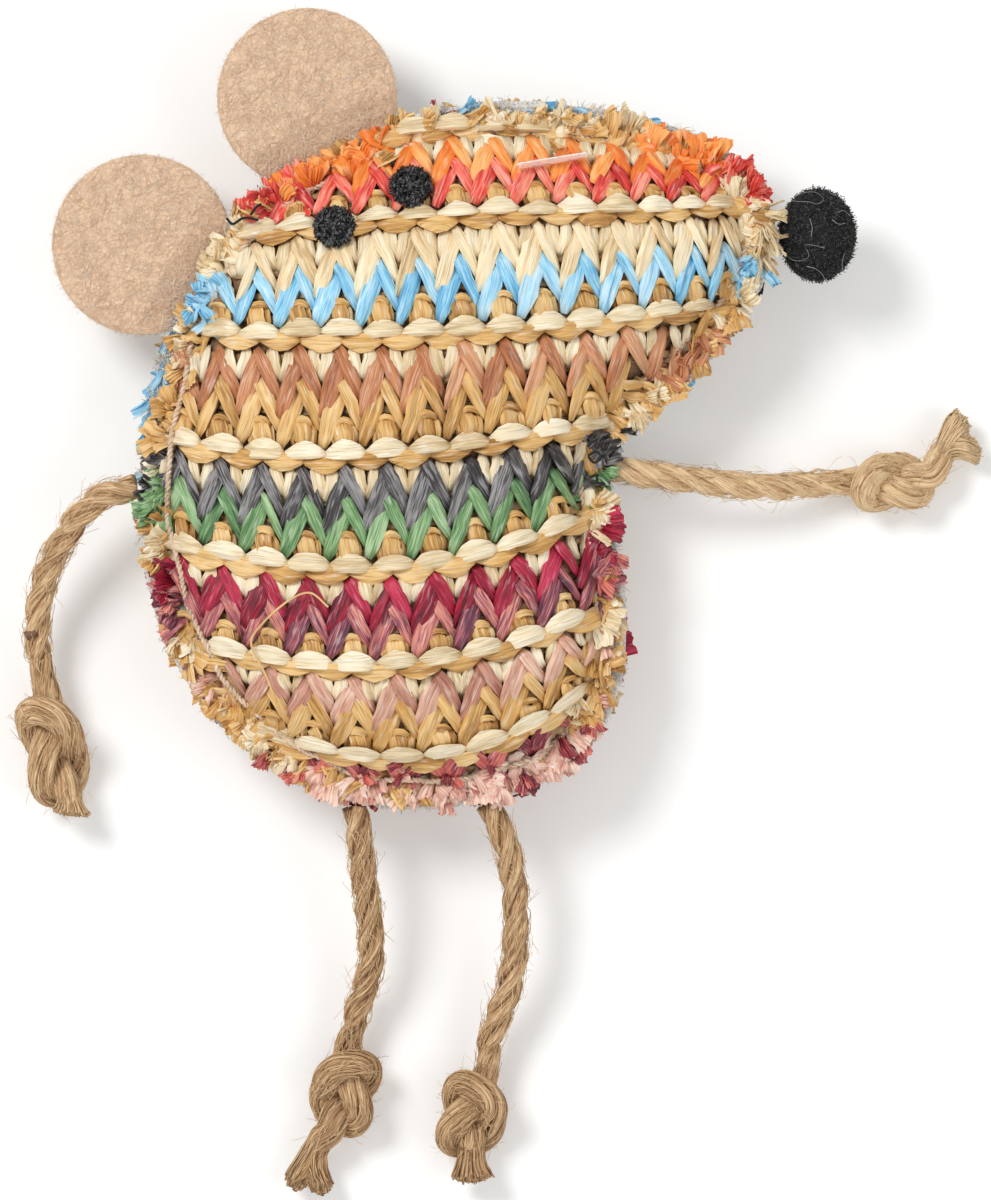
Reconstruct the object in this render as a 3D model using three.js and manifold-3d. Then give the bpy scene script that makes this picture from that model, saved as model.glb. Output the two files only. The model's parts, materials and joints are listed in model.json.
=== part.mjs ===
// A stuffed catnip mouse that lies on its back panel. Two stitch-work panels, each over a gauze lining, are
// sewn together round their edge and filled. The ears, the nose and four rope limbs start in that seam.
// Sizes are in millimetres. X runs towards the snout, Y towards the top of the head, and Z up.
import * as THREE from 'three';
import { mergeVertices } from 'three/addons/utils/BufferGeometryUtils.js';
import Module from 'manifold-3d';

const wasm = await Module();
wasm.setup();

// The body from above. The outline is the gauze's cut edge, anticlockwise from the tip of the snout. The rest
// place is the middle of the flat that the body lies on
const bodyLength = 96;
const bodyHeight = 107.1;
const outlineShares = [
  [1, 0.818], [0.967, 0.896], [0.866, 0.955], [0.694, 0.993], [0.506, 0.994], [0.327, 0.947], [0.17, 0.861],
  [0.077, 0.738], [0.022, 0.591], [0, 0.465], [0.011, 0.332], [0.053, 0.216], [0.155, 0.098], [0.295, 0.017],
  [0.428, 0], [0.584, 0.017], [0.702, 0.076], [0.759, 0.171], [0.772, 0.283], [0.753, 0.395], [0.742, 0.479],
  [0.775, 0.532], [0.863, 0.594], [0.936, 0.668], [0.988, 0.745],
];
const restShares = [0.397, 0.507];
const rimCount = 48;

// The layers, from the outside in, and how far each side swells from the seam
const knitWall = 1.8;
const liningWall = 0.5;
const layerGap = 0.3;
const seamEdge = 3;
const gauzeShow = 0.6;
const frontCrown = 13.55;
const backCrown = 11.75;
const restFlat = 0.5;
const fullness = 0.6;
const ringShares = [0.93, 0.8, 0.62, 0.42, 0.2];

// Rows of proud stitches cross the front panel. A row is one low bar that swells for each of its stitches, starts
// in the panel's wall, and ends before the panel falls away to the seam
const stitchPitch = 6.05;
const rowWidth = 4.2;
const rowRise = 1.7;
const rowSinkShare = 0.72;
const rowFromSwell = 2.4;
const rowJointShares = { width: 0.75, rise: 0.45 };
const rowShoulderShares = { width: 0.72, rise: 0.6 };
const stitchRowShares = [
  [[0.09, 0.804], [0.194, 0.815], [0.381, 0.834], [0.506, 0.837], [0.663, 0.846], [0.97, 0.855]],
  [[0.03, 0.68], [0.256, 0.67], [0.506, 0.68], [0.756, 0.692], [0.97, 0.722]],
  [[0, 0.54], [0.053, 0.526], [0.194, 0.504], [0.413, 0.512], [0.6, 0.527], [0.78, 0.552]],
  [[0, 0.4], [0.131, 0.359], [0.272, 0.353], [0.475, 0.362], [0.647, 0.388], [0.76, 0.45]],
  [[0.05, 0.26], [0.21, 0.217], [0.35, 0.21], [0.538, 0.227], [0.694, 0.275], [0.76, 0.31]],
  [[0.12, 0.15], [0.189, 0.12], [0.288, 0.093], [0.413, 0.082], [0.538, 0.096], [0.631, 0.132], [0.7, 0.17]],
];

// The thread of the seam lies on the raw edge, just outside the swell
const threadDiameter = 0.9;
const threadFromSwell = 0.5;
const threadSides = 4;

// The catnip pouch inside the stuffing, and the way that it was pushed in
const pouchLength = 34;
const pouchWidth = 26;
const pouchThick = 9;
const pouchWay = 4;

// A felt ear is a disc whose inner part is sewn into the seam. It folds along the edge of the seam
const earDiameter = 27;
const earThick = 2;
const earTabThick = 1.2;
const leftEar = { rimShare: 0.3196, centreFromRim: 8.5 };
const rightEar = { rimShare: 0.2326, centreFromRim: 7.5 };
const earRootFromRim = 1.2;
const earFoldInEar = 1;
const earFoldGap = 0.6;
const earSides = 14;

// The eyes are worked in thread, and stand as shallow discs on the front panel
const eyeDiameter = 6.8;
const eyeRise = 1.1;
const eyeShoulderShares = [0.55, 0.82];
const leftEyeShares = [0.3125, 0.815];
const rightEyeShares = [0.431, 0.871];
const eyeSides = 14;

// The nose is a pompom, held at the tip of the snout by a thread from the seam
const noseLength = 11.7;
const noseWidth = 14.4;
const noseRimShare = 0.9964;
const noseStitchDiameter = 1;
const noseStitchLength = 4;

// The pin that held the paper tag: a bar on the panel and a stem through it
const pinBarLength = 10.6;
const pinBarDiameter = 0.9;
const pinStemDiameter = 0.7;
const pinShares = [0.65, 0.905];
const pinTurn = THREE.MathUtils.degToRad(9.6);

// The rope, its end in the seam, and the strand where a knot draws it tight
const ropeDiameter = 4.1;
const ropeSides = 8;
const ropeSteps = 8;
const rootLength = 9;
const rootWidth = 4.6;
const rootThick = 3;
const pivotFromRim = 1.5;
const knotStrandDiameter = 3.3;
const knotSides = 6;
const knotSteps = 44;
const brushDiameter = 6;
const brushNeckShare = 0.9;
const knotLift = 0.3;
const gapSamples = 300;

// An overhand knot in units of its own size. The second half is the first one turned half round the Y axis
const knotHalfShares = [
  [-2.75, -0.3, -0.05], [-1.9, -0.3, -0.05], [-1.01, -0.43, -0.05], [-0.43, -0.74, 0.33], [0.15, -1.19, 0.5],
  [0.79, -1.48, 0.26], [1.28, -1.35, -0.28], [1.36, -0.83, -0.8], [1.11, -0.14, -0.9], [0.61, 0.31, -0.59],
];
const knotMiddleShares = [0, 0.35, 0];
const knotHalfHeightShare = 0.92;

// The limbs. A route holds the rope's places seen from above, counted from its pivot at the seam, and a tail's
// places are counted from where the rope leaves the knot, in the knot's own directions
const limbs = {
  left_arm: {
    rimShare: 0.4232, knotSize: 5.1, knotSide: 1,
    route: [[-3.6, -1.05], [-7.35, -4.5], [-10.35, -9], [-12.3, -13.5], [-13.35, -18], [-13.6, -21.5],
      [-13.4, -25]],
    tail: [], brush: 1.6,
  },
  right_arm: {
    rimShare: 0.8627, knotSize: 3.95, knotSide: 1,
    route: [[5.7, -0.9], [13.2, -1.8], [22.2, -2.55], [26.2, -2.3], [29.8, -2]],
    tail: [[1.6, 2.2, -0.4], [3.4, 5.2, -1.2]], brush: 3.5,
  },
  left_leg: {
    rimShare: 0.6157, knotSize: 3.95, knotSide: -1,
    route: [[0.6, -4.5], [1.2, -10.35], [1.8, -15.45], [2.1, -20.25], [1.5, -24.15], [0.6, -27],
      [-0.4, -30.3]],
    tail: [[1.5, 1.5, -0.3], [3, 3, -1]], brush: 3.5,
  },
  right_leg: {
    rimShare: 0.6764, knotSize: 3.95, knotSide: 1,
    route: [[1.95, -4.65], [3, -9.75], [3.3, -18], [3, -22.35], [1.95, -27.45], [0.55, -31], [-0.6, -34.7]],
    tail: [], brush: 2.5,
  },
};

// Heights of the layers over the seam's middle plane, the same on both sides
const liningUnder = layerGap / 2;
const liningTop = liningUnder + liningWall;
const knitUnder = liningTop + layerGap;
const knitTop = knitUnder + knitWall;
const seamHeight = knitTop + backCrown - restFlat;

// How far inside the outline each layer's swell starts
const knitSwell = gauzeShow + seamEdge;
const knitHollow = knitSwell + knitWall;
const liningSwell = knitHollow + layerGap;
const liningHollow = liningSwell + liningWall;
const stuffingSwell = liningHollow + layerGap;

function bodyPlace([xShare, yShare]) {
  return new THREE.Vector3((xShare - restShares[0]) * bodyLength, (yShare - restShares[1]) * bodyHeight, 0);
}

const outline = new THREE.CatmullRomCurve3(outlineShares.map(bodyPlace), true, 'centripetal');

// A place on the outline, with the way out of the body there
function rimPlace(share) {
  const along = outline.getTangentAt(share);
  const outward = new THREE.Vector3(along.y, -along.x, 0);
  return { point: outline.getPointAt(share), outward, turn: Math.atan2(outward.y, outward.x) };
}

const rim = Array.from({ length: rimCount }, (_, i) => rimPlace(i / rimCount));

function loopInside(inset) {
  return rim.map(({ point, outward }) => point.clone().addScaledVector(outward, -inset));
}

// The sides of a loop as they are seen from a place: the ways to a side's ends, and the angle between them
function sidesSeen(loop, x, y) {
  return loop.map((corner, i) => {
    const next = loop[(i + 1) % loop.length];
    const a = new THREE.Vector2(corner.x - x, corner.y - y);
    const b = new THREE.Vector2(next.x - x, next.y - y);
    return { a, b, angle: Math.atan2(a.cross(b), a.dot(b)) };
  });
}

// How deep a place lies inside a loop: the mean of its distances to the loop, each side seen at its angle
function depthInside(loop, x, y) {
  let nearness = 0;
  sidesSeen(loop, x, y).forEach(({ a, b, angle }) => {
    const spread = Math.abs(Math.sin(angle)) > Number.EPSILON ? angle / Math.sin(angle) : 1;
    nearness += spread * a.distanceTo(b) / (a.length() * b.length());
  });
  return 2 * Math.PI / nearness;
}

// A loop goes round a place if its sides, seen from there, turn through a full circle
function goesRound(loop, x, y) {
  return sidesSeen(loop, x, y).reduce((turn, { angle }) => turn + angle, 0) > Math.PI;
}

// The swell of a layer: a height above the loop that is steep at the seam and nearly flat in the middle
function swellOver(loop, crown) {
  const deepest = depthInside(loop, 0, 0);
  return (x, y) => crown * (depthInside(loop, x, y) / deepest) ** fullness;
}

function rowAt(loop, height) {
  return loop.map(({ x, y }) => new THREE.Vector3(x, y, height));
}

// Rows of points from the middle of a swell out to its loop
function swellRows(loop, level, crown) {
  const swell = swellOver(loop, crown);
  const rings = ringShares.map((share) => loop.map(({ x, y }) => (
    new THREE.Vector3(x * share, y * share, level + swell(x * share, y * share))
  )));
  return [[new THREE.Vector3(0, 0, level + crown)], ...rings.reverse(), rowAt(loop, level)];
}

// One closed surface through rows of points that start and end in a single point. Side -1 is the body's back
function skinThrough(rows, side = 1) {
  const places = rows.flat();
  const starts = rows.map((_, i) => rows.slice(0, i).flat().length);
  const at = (row, i) => starts[row] + i % rows[row].length;
  const faces = [];
  for (let row = 0; row + 1 < rows.length; row += 1) {
    for (let i = 0; i < rimCount; i += 1) {
      if (rows[row].length > 1) faces.push([at(row, i), at(row + 1, i + 1), at(row, i + 1)]);
      if (rows[row + 1].length > 1) faces.push([at(row, i), at(row + 1, i), at(row + 1, i + 1)]);
    }
  }
  const numbers = places.flatMap(({ x, y, z }) => [x, y, z * side]);
  const geometry = new THREE.BufferGeometry();
  geometry.setAttribute('position', new THREE.Float32BufferAttribute(numbers, 3));
  geometry.setIndex(faces.flatMap((face) => (side > 0 ? face : face.reverse())));
  return geometry;
}

// A layer of the body: a flat edge in the seam, and a swell inside it
function layer({ edge, swell, hollow, top, under, crown, side }) {
  const outer = swellRows(loopInside(swell), top, crown);
  const inner = swellRows(loopInside(hollow), under, crown);
  const edgeLoop = loopInside(edge);
  return skinThrough([...outer, rowAt(edgeLoop, top), rowAt(edgeLoop, under), ...inner.reverse()], side);
}

// A closed bar through rings of equal count, flat at both ends
function barThrough(rings) {
  const sides = rings[0].length;
  const at = (ring, i) => ring * sides + i % sides;
  const faces = [];
  for (let i = 0; i < sides; i += 1) {
    for (let ring = 0; ring + 1 < rings.length; ring += 1) {
      faces.push([at(ring, i), at(ring + 1, i + 1), at(ring, i + 1)]);
      faces.push([at(ring, i), at(ring + 1, i), at(ring + 1, i + 1)]);
    }
    if (i > 0 && i + 1 < sides) {
      faces.push([at(0, 0), at(0, i), at(0, i + 1)]);
      faces.push([at(rings.length - 1, 0), at(rings.length - 1, i + 1), at(rings.length - 1, i)]);
    }
  }
  const numbers = rings.flat().flatMap((place) => place.toArray());
  const geometry = new THREE.BufferGeometry();
  geometry.setAttribute('position', new THREE.Float32BufferAttribute(numbers, 3));
  geometry.setIndex(faces.flat());
  return geometry;
}

function stuffingShape() {
  const loop = loopInside(stuffingSwell);
  const front = swellRows(loop, 0, frontCrown - layerGap / 2);
  const back = swellRows(loop, 0, backCrown - layerGap / 2).reverse().slice(1);
  back.forEach((row) => row.forEach((place) => place.setZ(-place.z)));
  return skinThrough([...front, ...back]);
}

// Solids are joined and cut here. Everything else is plain geometry
function solidOf(geometry) {
  const bare = geometry.clone();
  bare.deleteAttribute('normal');
  bare.deleteAttribute('uv');
  const merged = mergeVertices(bare);
  const corner = (i) => merged.index.getX(i);
  const count = merged.index.count / 3;
  const faces = Array.from({ length: count }, (_, i) => [corner(3 * i), corner(3 * i + 1), corner(3 * i + 2)])
    .filter(([a, b, c]) => a !== b && b !== c && c !== a);
  return new wasm.Manifold(new wasm.Mesh({
    numProp: 3,
    vertProperties: new Float32Array(merged.attributes.position.array),
    triVerts: new Uint32Array(faces.flat()),
  }));
}

function geometryOf(solid) {
  const { vertProperties, triVerts } = solid.getMesh();
  const geometry = new THREE.BufferGeometry();
  geometry.setAttribute('position', new THREE.BufferAttribute(vertProperties, 3));
  geometry.setIndex(new THREE.BufferAttribute(triVerts, 1));
  return geometry;
}

function joined(...geometries) {
  return geometryOf(geometries.map(solidOf).reduce((whole, piece) => whole.add(piece)));
}

function cut(geometry, ...tools) {
  return geometryOf(tools.map(solidOf).reduce((whole, tool) => whole.subtract(tool), solidOf(geometry)));
}

// Moves a shape made with X outward from the body and Z up to its place on the outline
function seatOnRim(geometry, rimShare, fromRim = 0) {
  const { point, outward, turn } = rimPlace(rimShare);
  const seat = point.clone().addScaledVector(outward, fromRim);
  return geometry.rotateZ(turn).translate(seat.x, seat.y, 0);
}

// The part of an ear's disc on one side of a line across it. Beyond is 1 for the ear and -1 for its tab
function earSlice({ centreFromRim }, lineFromRim, beyond, diameter, thick) {
  const angle = Math.acos((lineFromRim - centreFromRim) / (diameter / 2));
  const [from, to] = beyond > 0 ? [-angle, angle] : [angle, 2 * Math.PI - angle];
  const slice = new THREE.Shape().absarc(centreFromRim, 0, diameter / 2, from, to, false);
  const options = { depth: thick, bevelEnabled: false, curveSegments: earSides };
  return new THREE.ExtrudeGeometry(slice, options).translate(0, 0, -thick / 2);
}

function earShape(ear) {
  return seatOnRim(earSlice(ear, earRootFromRim, 1, earDiameter, earThick), ear.rimShare);
}

function earTab(ear, clearance = 0) {
  const line = earRootFromRim - earFoldGap + clearance;
  const slice = earSlice(ear, line, -1, earDiameter + 2 * clearance, earTabThick + 2 * clearance);
  return seatOnRim(slice, ear.rimShare);
}

// A short length that lies flat in the seam, from a place near the rim inwards
function stubInSeam({ rimShare, width, thick, length, outerEnd }, clearance = 0) {
  const stub = new THREE.CylinderGeometry(1, 1, length + 2 * clearance, 12).rotateZ(Math.PI / 2);
  stub.scale(1, width / 2 + clearance, thick / 2 + clearance).translate(outerEnd - length / 2, 0, 0);
  return seatOnRim(stub, rimShare);
}

function rootOf(limb) {
  const outerEnd = pivotFromRim - ropeDiameter / 2 - layerGap;
  return { rimShare: limb.rimShare, width: rootWidth, thick: rootThick, length: rootLength, outerEnd };
}

const noseStitch = {
  rimShare: noseRimShare,
  width: noseStitchDiameter,
  thick: noseStitchDiameter,
  length: noseStitchLength,
  outerEnd: 0,
};

// The room in the seam for the rounded end of a rope, which turns there
function pivotRoom(limb) {
  return seatOnRim(new THREE.SphereGeometry(ropeDiameter / 2 + layerGap, 16, 8), limb.rimShare, pivotFromRim);
}

function circleShape(diameter, sides) {
  const corners = Array.from({ length: sides }, (_, i) => (
    new THREE.Vector2(diameter / 2, 0).rotateAround(new THREE.Vector2(), 2 * Math.PI * i / sides)
  ));
  return new THREE.Shape(corners);
}

function tubeAlong(curve, diameter, sides, steps) {
  const options = { extrudePath: curve, steps, bevelEnabled: false };
  return new THREE.ExtrudeGeometry(circleShape(diameter, sides), options);
}

function curveThrough(points) {
  return new THREE.CatmullRomCurve3(points, false, 'centripetal');
}

// A limb's rope droops from the seam until its knot lies just over the ground
function ropeCurve(limb) {
  const { point, outward } = rimPlace(limb.rimShare);
  const start = point.clone().addScaledVector(outward, pivotFromRim);
  const drop = seamHeight - knotLift - knotHalfHeightShare * limb.knotSize - knotStrandDiameter / 2;
  const places = [[0, 0], ...limb.route];
  return curveThrough(places.map(([x, y], i) => {
    const height = -drop * THREE.MathUtils.smoothstep(i, 0, places.length - 1);
    return new THREE.Vector3(start.x + x, start.y + y, height);
  }));
}

function ropeShape(limb) {
  const curve = ropeCurve(limb);
  const start = curve.getPoint(0);
  const end = new THREE.SphereGeometry(ropeDiameter / 2, 10, 6).translate(start.x, start.y, start.z);
  return joined(tubeAlong(curve, ropeDiameter, ropeSides, ropeSteps), end);
}

// The knot's own directions: X on along the rope, Z up, and Y across, to the side that its loops hang to
function knotPlace(limb) {
  const rope = ropeCurve(limb);
  const along = rope.getTangentAt(1).setZ(0).normalize();
  const across = new THREE.Vector3(-along.y, along.x, 0).multiplyScalar(limb.knotSide);
  const up = new THREE.Vector3(0, 0, 1);
  const first = new THREE.Vector3(...knotHalfShares[0]).multiplyScalar(limb.knotSize);
  const start = rope.getPoint(1).addScaledVector(along, layerGap);
  const toWorld = (place) => start.clone().addScaledVector(along, place.x - first.x)
    .addScaledVector(across, place.y - first.y).addScaledVector(up, place.z - first.z);
  return toWorld;
}

function knotCurve(limb) {
  const toWorld = knotPlace(limb);
  const secondHalf = knotHalfShares.slice(1).map(([x, y, z]) => [-x, y, -z]).reverse();
  const shares = [...knotHalfShares, knotMiddleShares, ...secondHalf];
  const places = shares.map((share) => new THREE.Vector3(...share).multiplyScalar(limb.knotSize));
  const exit = places[places.length - 1];
  const tail = limb.tail.map((place) => new THREE.Vector3(...place).add(exit));
  return curveThrough([...places, ...tail].map(toWorld));
}

// The frayed end: a cone that starts inside the last of the strand
function brushShape(limb, curve) {
  const end = curve.getPoint(1);
  const along = curve.getTangentAt(1);
  const overlap = knotStrandDiameter / 2;
  const neck = brushNeckShare * knotStrandDiameter / 2;
  const brush = new THREE.CylinderGeometry(brushDiameter / 2, neck, limb.brush + overlap, 12);
  brush.translate(0, (limb.brush - overlap) / 2, 0);
  brush.applyQuaternion(new THREE.Quaternion().setFromUnitVectors(new THREE.Vector3(0, 1, 0), along));
  return brush.translate(end.x, end.y, end.z);
}

function knotShape(limb) {
  const curve = knotCurve(limb);
  return joined(tubeAlong(curve, knotStrandDiameter, knotSides, knotSteps), brushShape(limb, curve));
}

// The least gap between parts of a strand that aren't next to each other along it
function leastGap(curve, diameter) {
  const places = curve.getSpacedPoints(gapSamples);
  const step = curve.getLength() / gapSamples;
  let least = Infinity;
  places.forEach((place, i) => places.slice(i + Math.ceil(2 * diameter / step)).forEach((other) => {
    least = Math.min(least, place.distanceTo(other) - diameter);
  }));
  return least;
}

// A place on the front panel, with the way that the surface faces there
const frontLoop = loopInside(knitSwell);
const frontSwell = swellOver(frontLoop, frontCrown);
function frontPlace({ x, y }) {
  const reach = knitWall;
  const slopeX = (frontSwell(x + reach, y) - frontSwell(x - reach, y)) / (2 * reach);
  const slopeY = (frontSwell(x, y + reach) - frontSwell(x, y - reach)) / (2 * reach);
  const facing = new THREE.Vector3(-slopeX, -slopeY, 1).normalize();
  return { point: new THREE.Vector3(x, y, knitTop + frontSwell(x, y)), facing };
}

// Puts a shape made with Z outward on the front panel, turned about the surface's own direction first
function seatOnFront(geometry, shares, turn, lift) {
  const { point, facing } = frontPlace(bodyPlace(shares));
  const seat = point.clone().addScaledVector(facing, lift);
  const lean = new THREE.Quaternion().setFromUnitVectors(new THREE.Vector3(0, 0, 1), facing);
  return geometry.rotateZ(turn).applyQuaternion(lean).translate(seat.x, seat.y, seat.z);
}

function rod(diameter, length) {
  return new THREE.CylinderGeometry(diameter / 2, diameter / 2, length, 10);
}

function eyeShape(shares) {
  const radius = eyeDiameter / 2;
  const [shoulderRise, shoulderReach] = eyeShoulderShares;
  const shoulder = [radius, eyeRise * shoulderRise];
  const top = [radius * shoulderReach, eyeRise];
  const profile = [[0, 0], [radius, 0], shoulder, top, [0, eyeRise]].map(([r, h]) => new THREE.Vector2(r, h));
  const eye = new THREE.LatheGeometry(profile, eyeSides).rotateX(Math.PI / 2);
  return seatOnFront(eye, shares, 0, layerGap);
}

// The room that an eye takes up over the panel
function eyeRoom(shares) {
  const height = 2 * rowRise;
  const room = rod(eyeDiameter + 2 * layerGap, height).rotateX(Math.PI / 2).translate(0, 0, height / 2);
  return seatOnFront(room, shares, 0, 0);
}

// The bar of a row. Its rings are alternately the joint of two stitches and the middle of one
function stitchRow(shares) {
  const line = curveThrough(shares.map(bodyPlace));
  const count = 2 * Math.round(line.getLength() / stitchPitch);
  const steps = Array.from({ length: count + 1 }, (_, i) => i / count).filter((step) => {
    const { x, y } = line.getPointAt(step);
    return goesRound(frontLoop, x, y) && depthInside(frontLoop, x, y) > rowFromSwell;
  });
  if (steps.length % 2 === 0) steps.pop();
  return barThrough(steps.map((step, i) => {
    const { point, facing } = frontPlace(line.getPointAt(step));
    const across = line.getTangentAt(step).cross(facing).normalize();
    const half = rowWidth / 2 * (i % 2 ? 1 : rowJointShares.width);
    const rise = rowRise * (i % 2 ? 1 : rowJointShares.rise);
    const sink = rowSinkShare * knitWall;
    const reach = half * rowShoulderShares.width;
    const shoulder = rise * rowShoulderShares.rise;
    const profile = [[-half, -sink], [half, -sink], [reach, shoulder], [0, rise], [-reach, shoulder]];
    return profile.map(([side, lift]) => (
      point.clone().addScaledVector(across, side).addScaledVector(facing, lift)
    ));
  }));
}

const pinLift = layerGap + pinBarDiameter / 2;
const pinStemLength = pinLift + knitWall / 2;

function pinShape() {
  const bar = rod(pinBarDiameter, pinBarLength).rotateZ(Math.PI / 2);
  const stem = rod(pinStemDiameter, pinStemLength).rotateX(Math.PI / 2).translate(0, 0, -pinStemLength / 2);
  return seatOnFront(joined(bar, stem), pinShares, pinTurn, pinLift);
}

function pinHole() {
  const hole = rod(pinStemDiameter + 2 * layerGap, 2 * (knitWall + layerGap)).rotateX(Math.PI / 2);
  return seatOnFront(hole, pinShares, pinTurn, 0);
}

function noseShape() {
  const nose = new THREE.SphereGeometry(1, 16, 10).scale(noseLength / 2, noseWidth / 2, noseWidth / 2);
  return seatOnRim(nose, noseRimShare, noseLength / 2 + layerGap);
}

function seamThread(side) {
  const loop = loopInside(knitSwell - threadFromSwell - threadDiameter / 2).slice(1);
  const height = side * (knitTop + layerGap + threadDiameter / 2);
  return tubeAlong(curveThrough(rowAt(loop, height)), threadDiameter, threadSides, rimCount);
}

function pouchShape(clearance = 0) {
  const pouch = new THREE.SphereGeometry(1, 16, 8).rotateX(Math.PI / 2);
  return pouch.scale(pouchLength / 2 + clearance, pouchWidth / 2 + clearance, pouchThick / 2 + clearance);
}

// The way in for the pouch runs down to the bottom of the body, between the legs
function pouchWayShape() {
  return rod(pouchWay, bodyHeight).translate(0, -bodyHeight / 2, 0);
}

// Everything that is sewn between the layers, with room round it, is cut out of them
const limbList = Object.values(limbs);
const rooms = [
  ...[leftEar, rightEar].map((ear) => earTab(ear, layerGap)),
  ...limbList.map((limb) => stubInSeam(rootOf(limb), layerGap)),
  ...limbList.map(pivotRoom),
  stubInSeam(noseStitch, layerGap),
];
const ground = new THREE.BoxGeometry(2 * bodyLength, 2 * bodyHeight, seamHeight);
ground.translate(0, 0, -seamHeight - seamHeight / 2);
const knitSizes = { edge: gauzeShow, swell: knitSwell, hollow: knitHollow, top: knitTop, under: knitUnder };
const liningSizes = { edge: 0, swell: liningSwell, hollow: liningHollow, top: liningTop, under: liningUnder };
const front = { crown: frontCrown, side: 1 };
const back = { crown: backCrown, side: -1 };

const raffia = { color: 0xd6a85f, roughness: 0.7, metalness: 0 };
const gauze = { color: 0xe1ded9, roughness: 0.95, metalness: 0 };
const felt = { color: 0xcdac8e, roughness: 1, metalness: 0 };
const jute = { color: 0xb0926c, roughness: 0.95, metalness: 0 };
const thread = { color: 0xd7b496, roughness: 0.8, metalness: 0 };
const blackYarn = { color: 0x17171a, roughness: 1, metalness: 0 };
const filling = { color: 0xf2f0ea, roughness: 1, metalness: 0 };
const muslin = { color: 0xe8e0cc, roughness: 1, metalness: 0 };
const clearPlastic = { color: 0xf4f6f8, roughness: 0.15, metalness: 0 };

// Pieces are made about the middle of the seam, so the whole body stands seamHeight over the ground
const mouse = new THREE.Group();
const body = new THREE.Group();
body.position.z = seamHeight;
mouse.add(body);

function addPiece(name, geometry, look) {
  const piece = new THREE.Mesh(geometry, new THREE.MeshStandardMaterial(look));
  piece.name = name;
  body.add(piece);
}

const eyeRooms = [leftEyeShares, rightEyeShares].map(eyeRoom);
const stitchRows = stitchRowShares.map((shares) => cut(stitchRow(shares), ...eyeRooms));
const frontPanel = joined(layer({ ...knitSizes, ...front }), ...stitchRows);

addPiece('front_panel', cut(frontPanel, ...rooms, pinHole()), raffia);
addPiece('back_panel', cut(layer({ ...knitSizes, ...back }), ...rooms, ground), raffia);
addPiece('front_lining', cut(layer({ ...liningSizes, ...front }), ...rooms), gauze);
addPiece('back_lining', cut(layer({ ...liningSizes, ...back }), ...rooms), gauze);
addPiece('stuffing', cut(stuffingShape(), ...rooms, pouchShape(layerGap), pouchWayShape()), filling);
addPiece('catnip_pouch', pouchShape(), muslin);
addPiece('front_seam_thread', seamThread(1), thread);
addPiece('back_seam_thread', seamThread(-1), thread);
addPiece('left_ear', earShape(leftEar), felt);
addPiece('right_ear', earShape(rightEar), felt);
addPiece('left_ear_tab', earTab(leftEar), felt);
addPiece('right_ear_tab', earTab(rightEar), felt);
addPiece('left_eye', eyeShape(leftEyeShares), blackYarn);
addPiece('right_eye', eyeShape(rightEyeShares), blackYarn);
addPiece('nose_pompom', noseShape(), blackYarn);
addPiece('nose_stitch', stubInSeam(noseStitch), blackYarn);
addPiece('tag_pin', pinShape(), clearPlastic);

for (const [name, limb] of Object.entries(limbs)) {
  addPiece(`${name}_root`, stubInSeam(rootOf(limb)), jute);
  addPiece(`${name}_rope`, ropeShape(limb), jute);
  addPiece(`${name}_knot`, knotShape(limb), jute);
  const { x, y } = ropeCurve(limb).getPoint(0);
  const gap = leastGap(knotCurve(limb), knotStrandDiameter);
  const length = ropeCurve(limb).getLength();
  console.log(`${name}: pivot ${x.toFixed(3)} ${y.toFixed(3)} ${seamHeight.toFixed(3)}`);
  console.log(`  rope ${length.toFixed(1)}, least gap in its knot ${gap.toFixed(2)}`);
}

for (const [name, ear] of Object.entries({ left_ear: leftEar, right_ear: rightEar })) {
  const { point, outward } = rimPlace(ear.rimShare);
  const { x, y } = point.clone().addScaledVector(outward, earRootFromRim + earFoldInEar);
  console.log(`${name}: fold ${x.toFixed(3)} ${y.toFixed(3)} ${seamHeight.toFixed(3)}`);
  console.log(`  fold axis ${(-outward.y).toFixed(5)} ${outward.x.toFixed(5)}`);
}

export default mouse;
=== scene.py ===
# %% [markdown]
# # A stuffed catnip mouse
# The toy lies on its back panel, seen from straight above. Two panels of raffia stitch-work are sewn
# together face out, stuffed, and trimmed with felt ears, thread eyes, a pompom and four knotted jute
# limbs. Everything soft is made here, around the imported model, which is a fixed frame: a piece goes where
# the frame says, in metres.

# %% Load the frame
import json
import math
import bpy
import numpy as np
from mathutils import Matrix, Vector
from mathutils.bvhtree import BVHTree
from numpy.random import default_rng as draws


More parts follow.
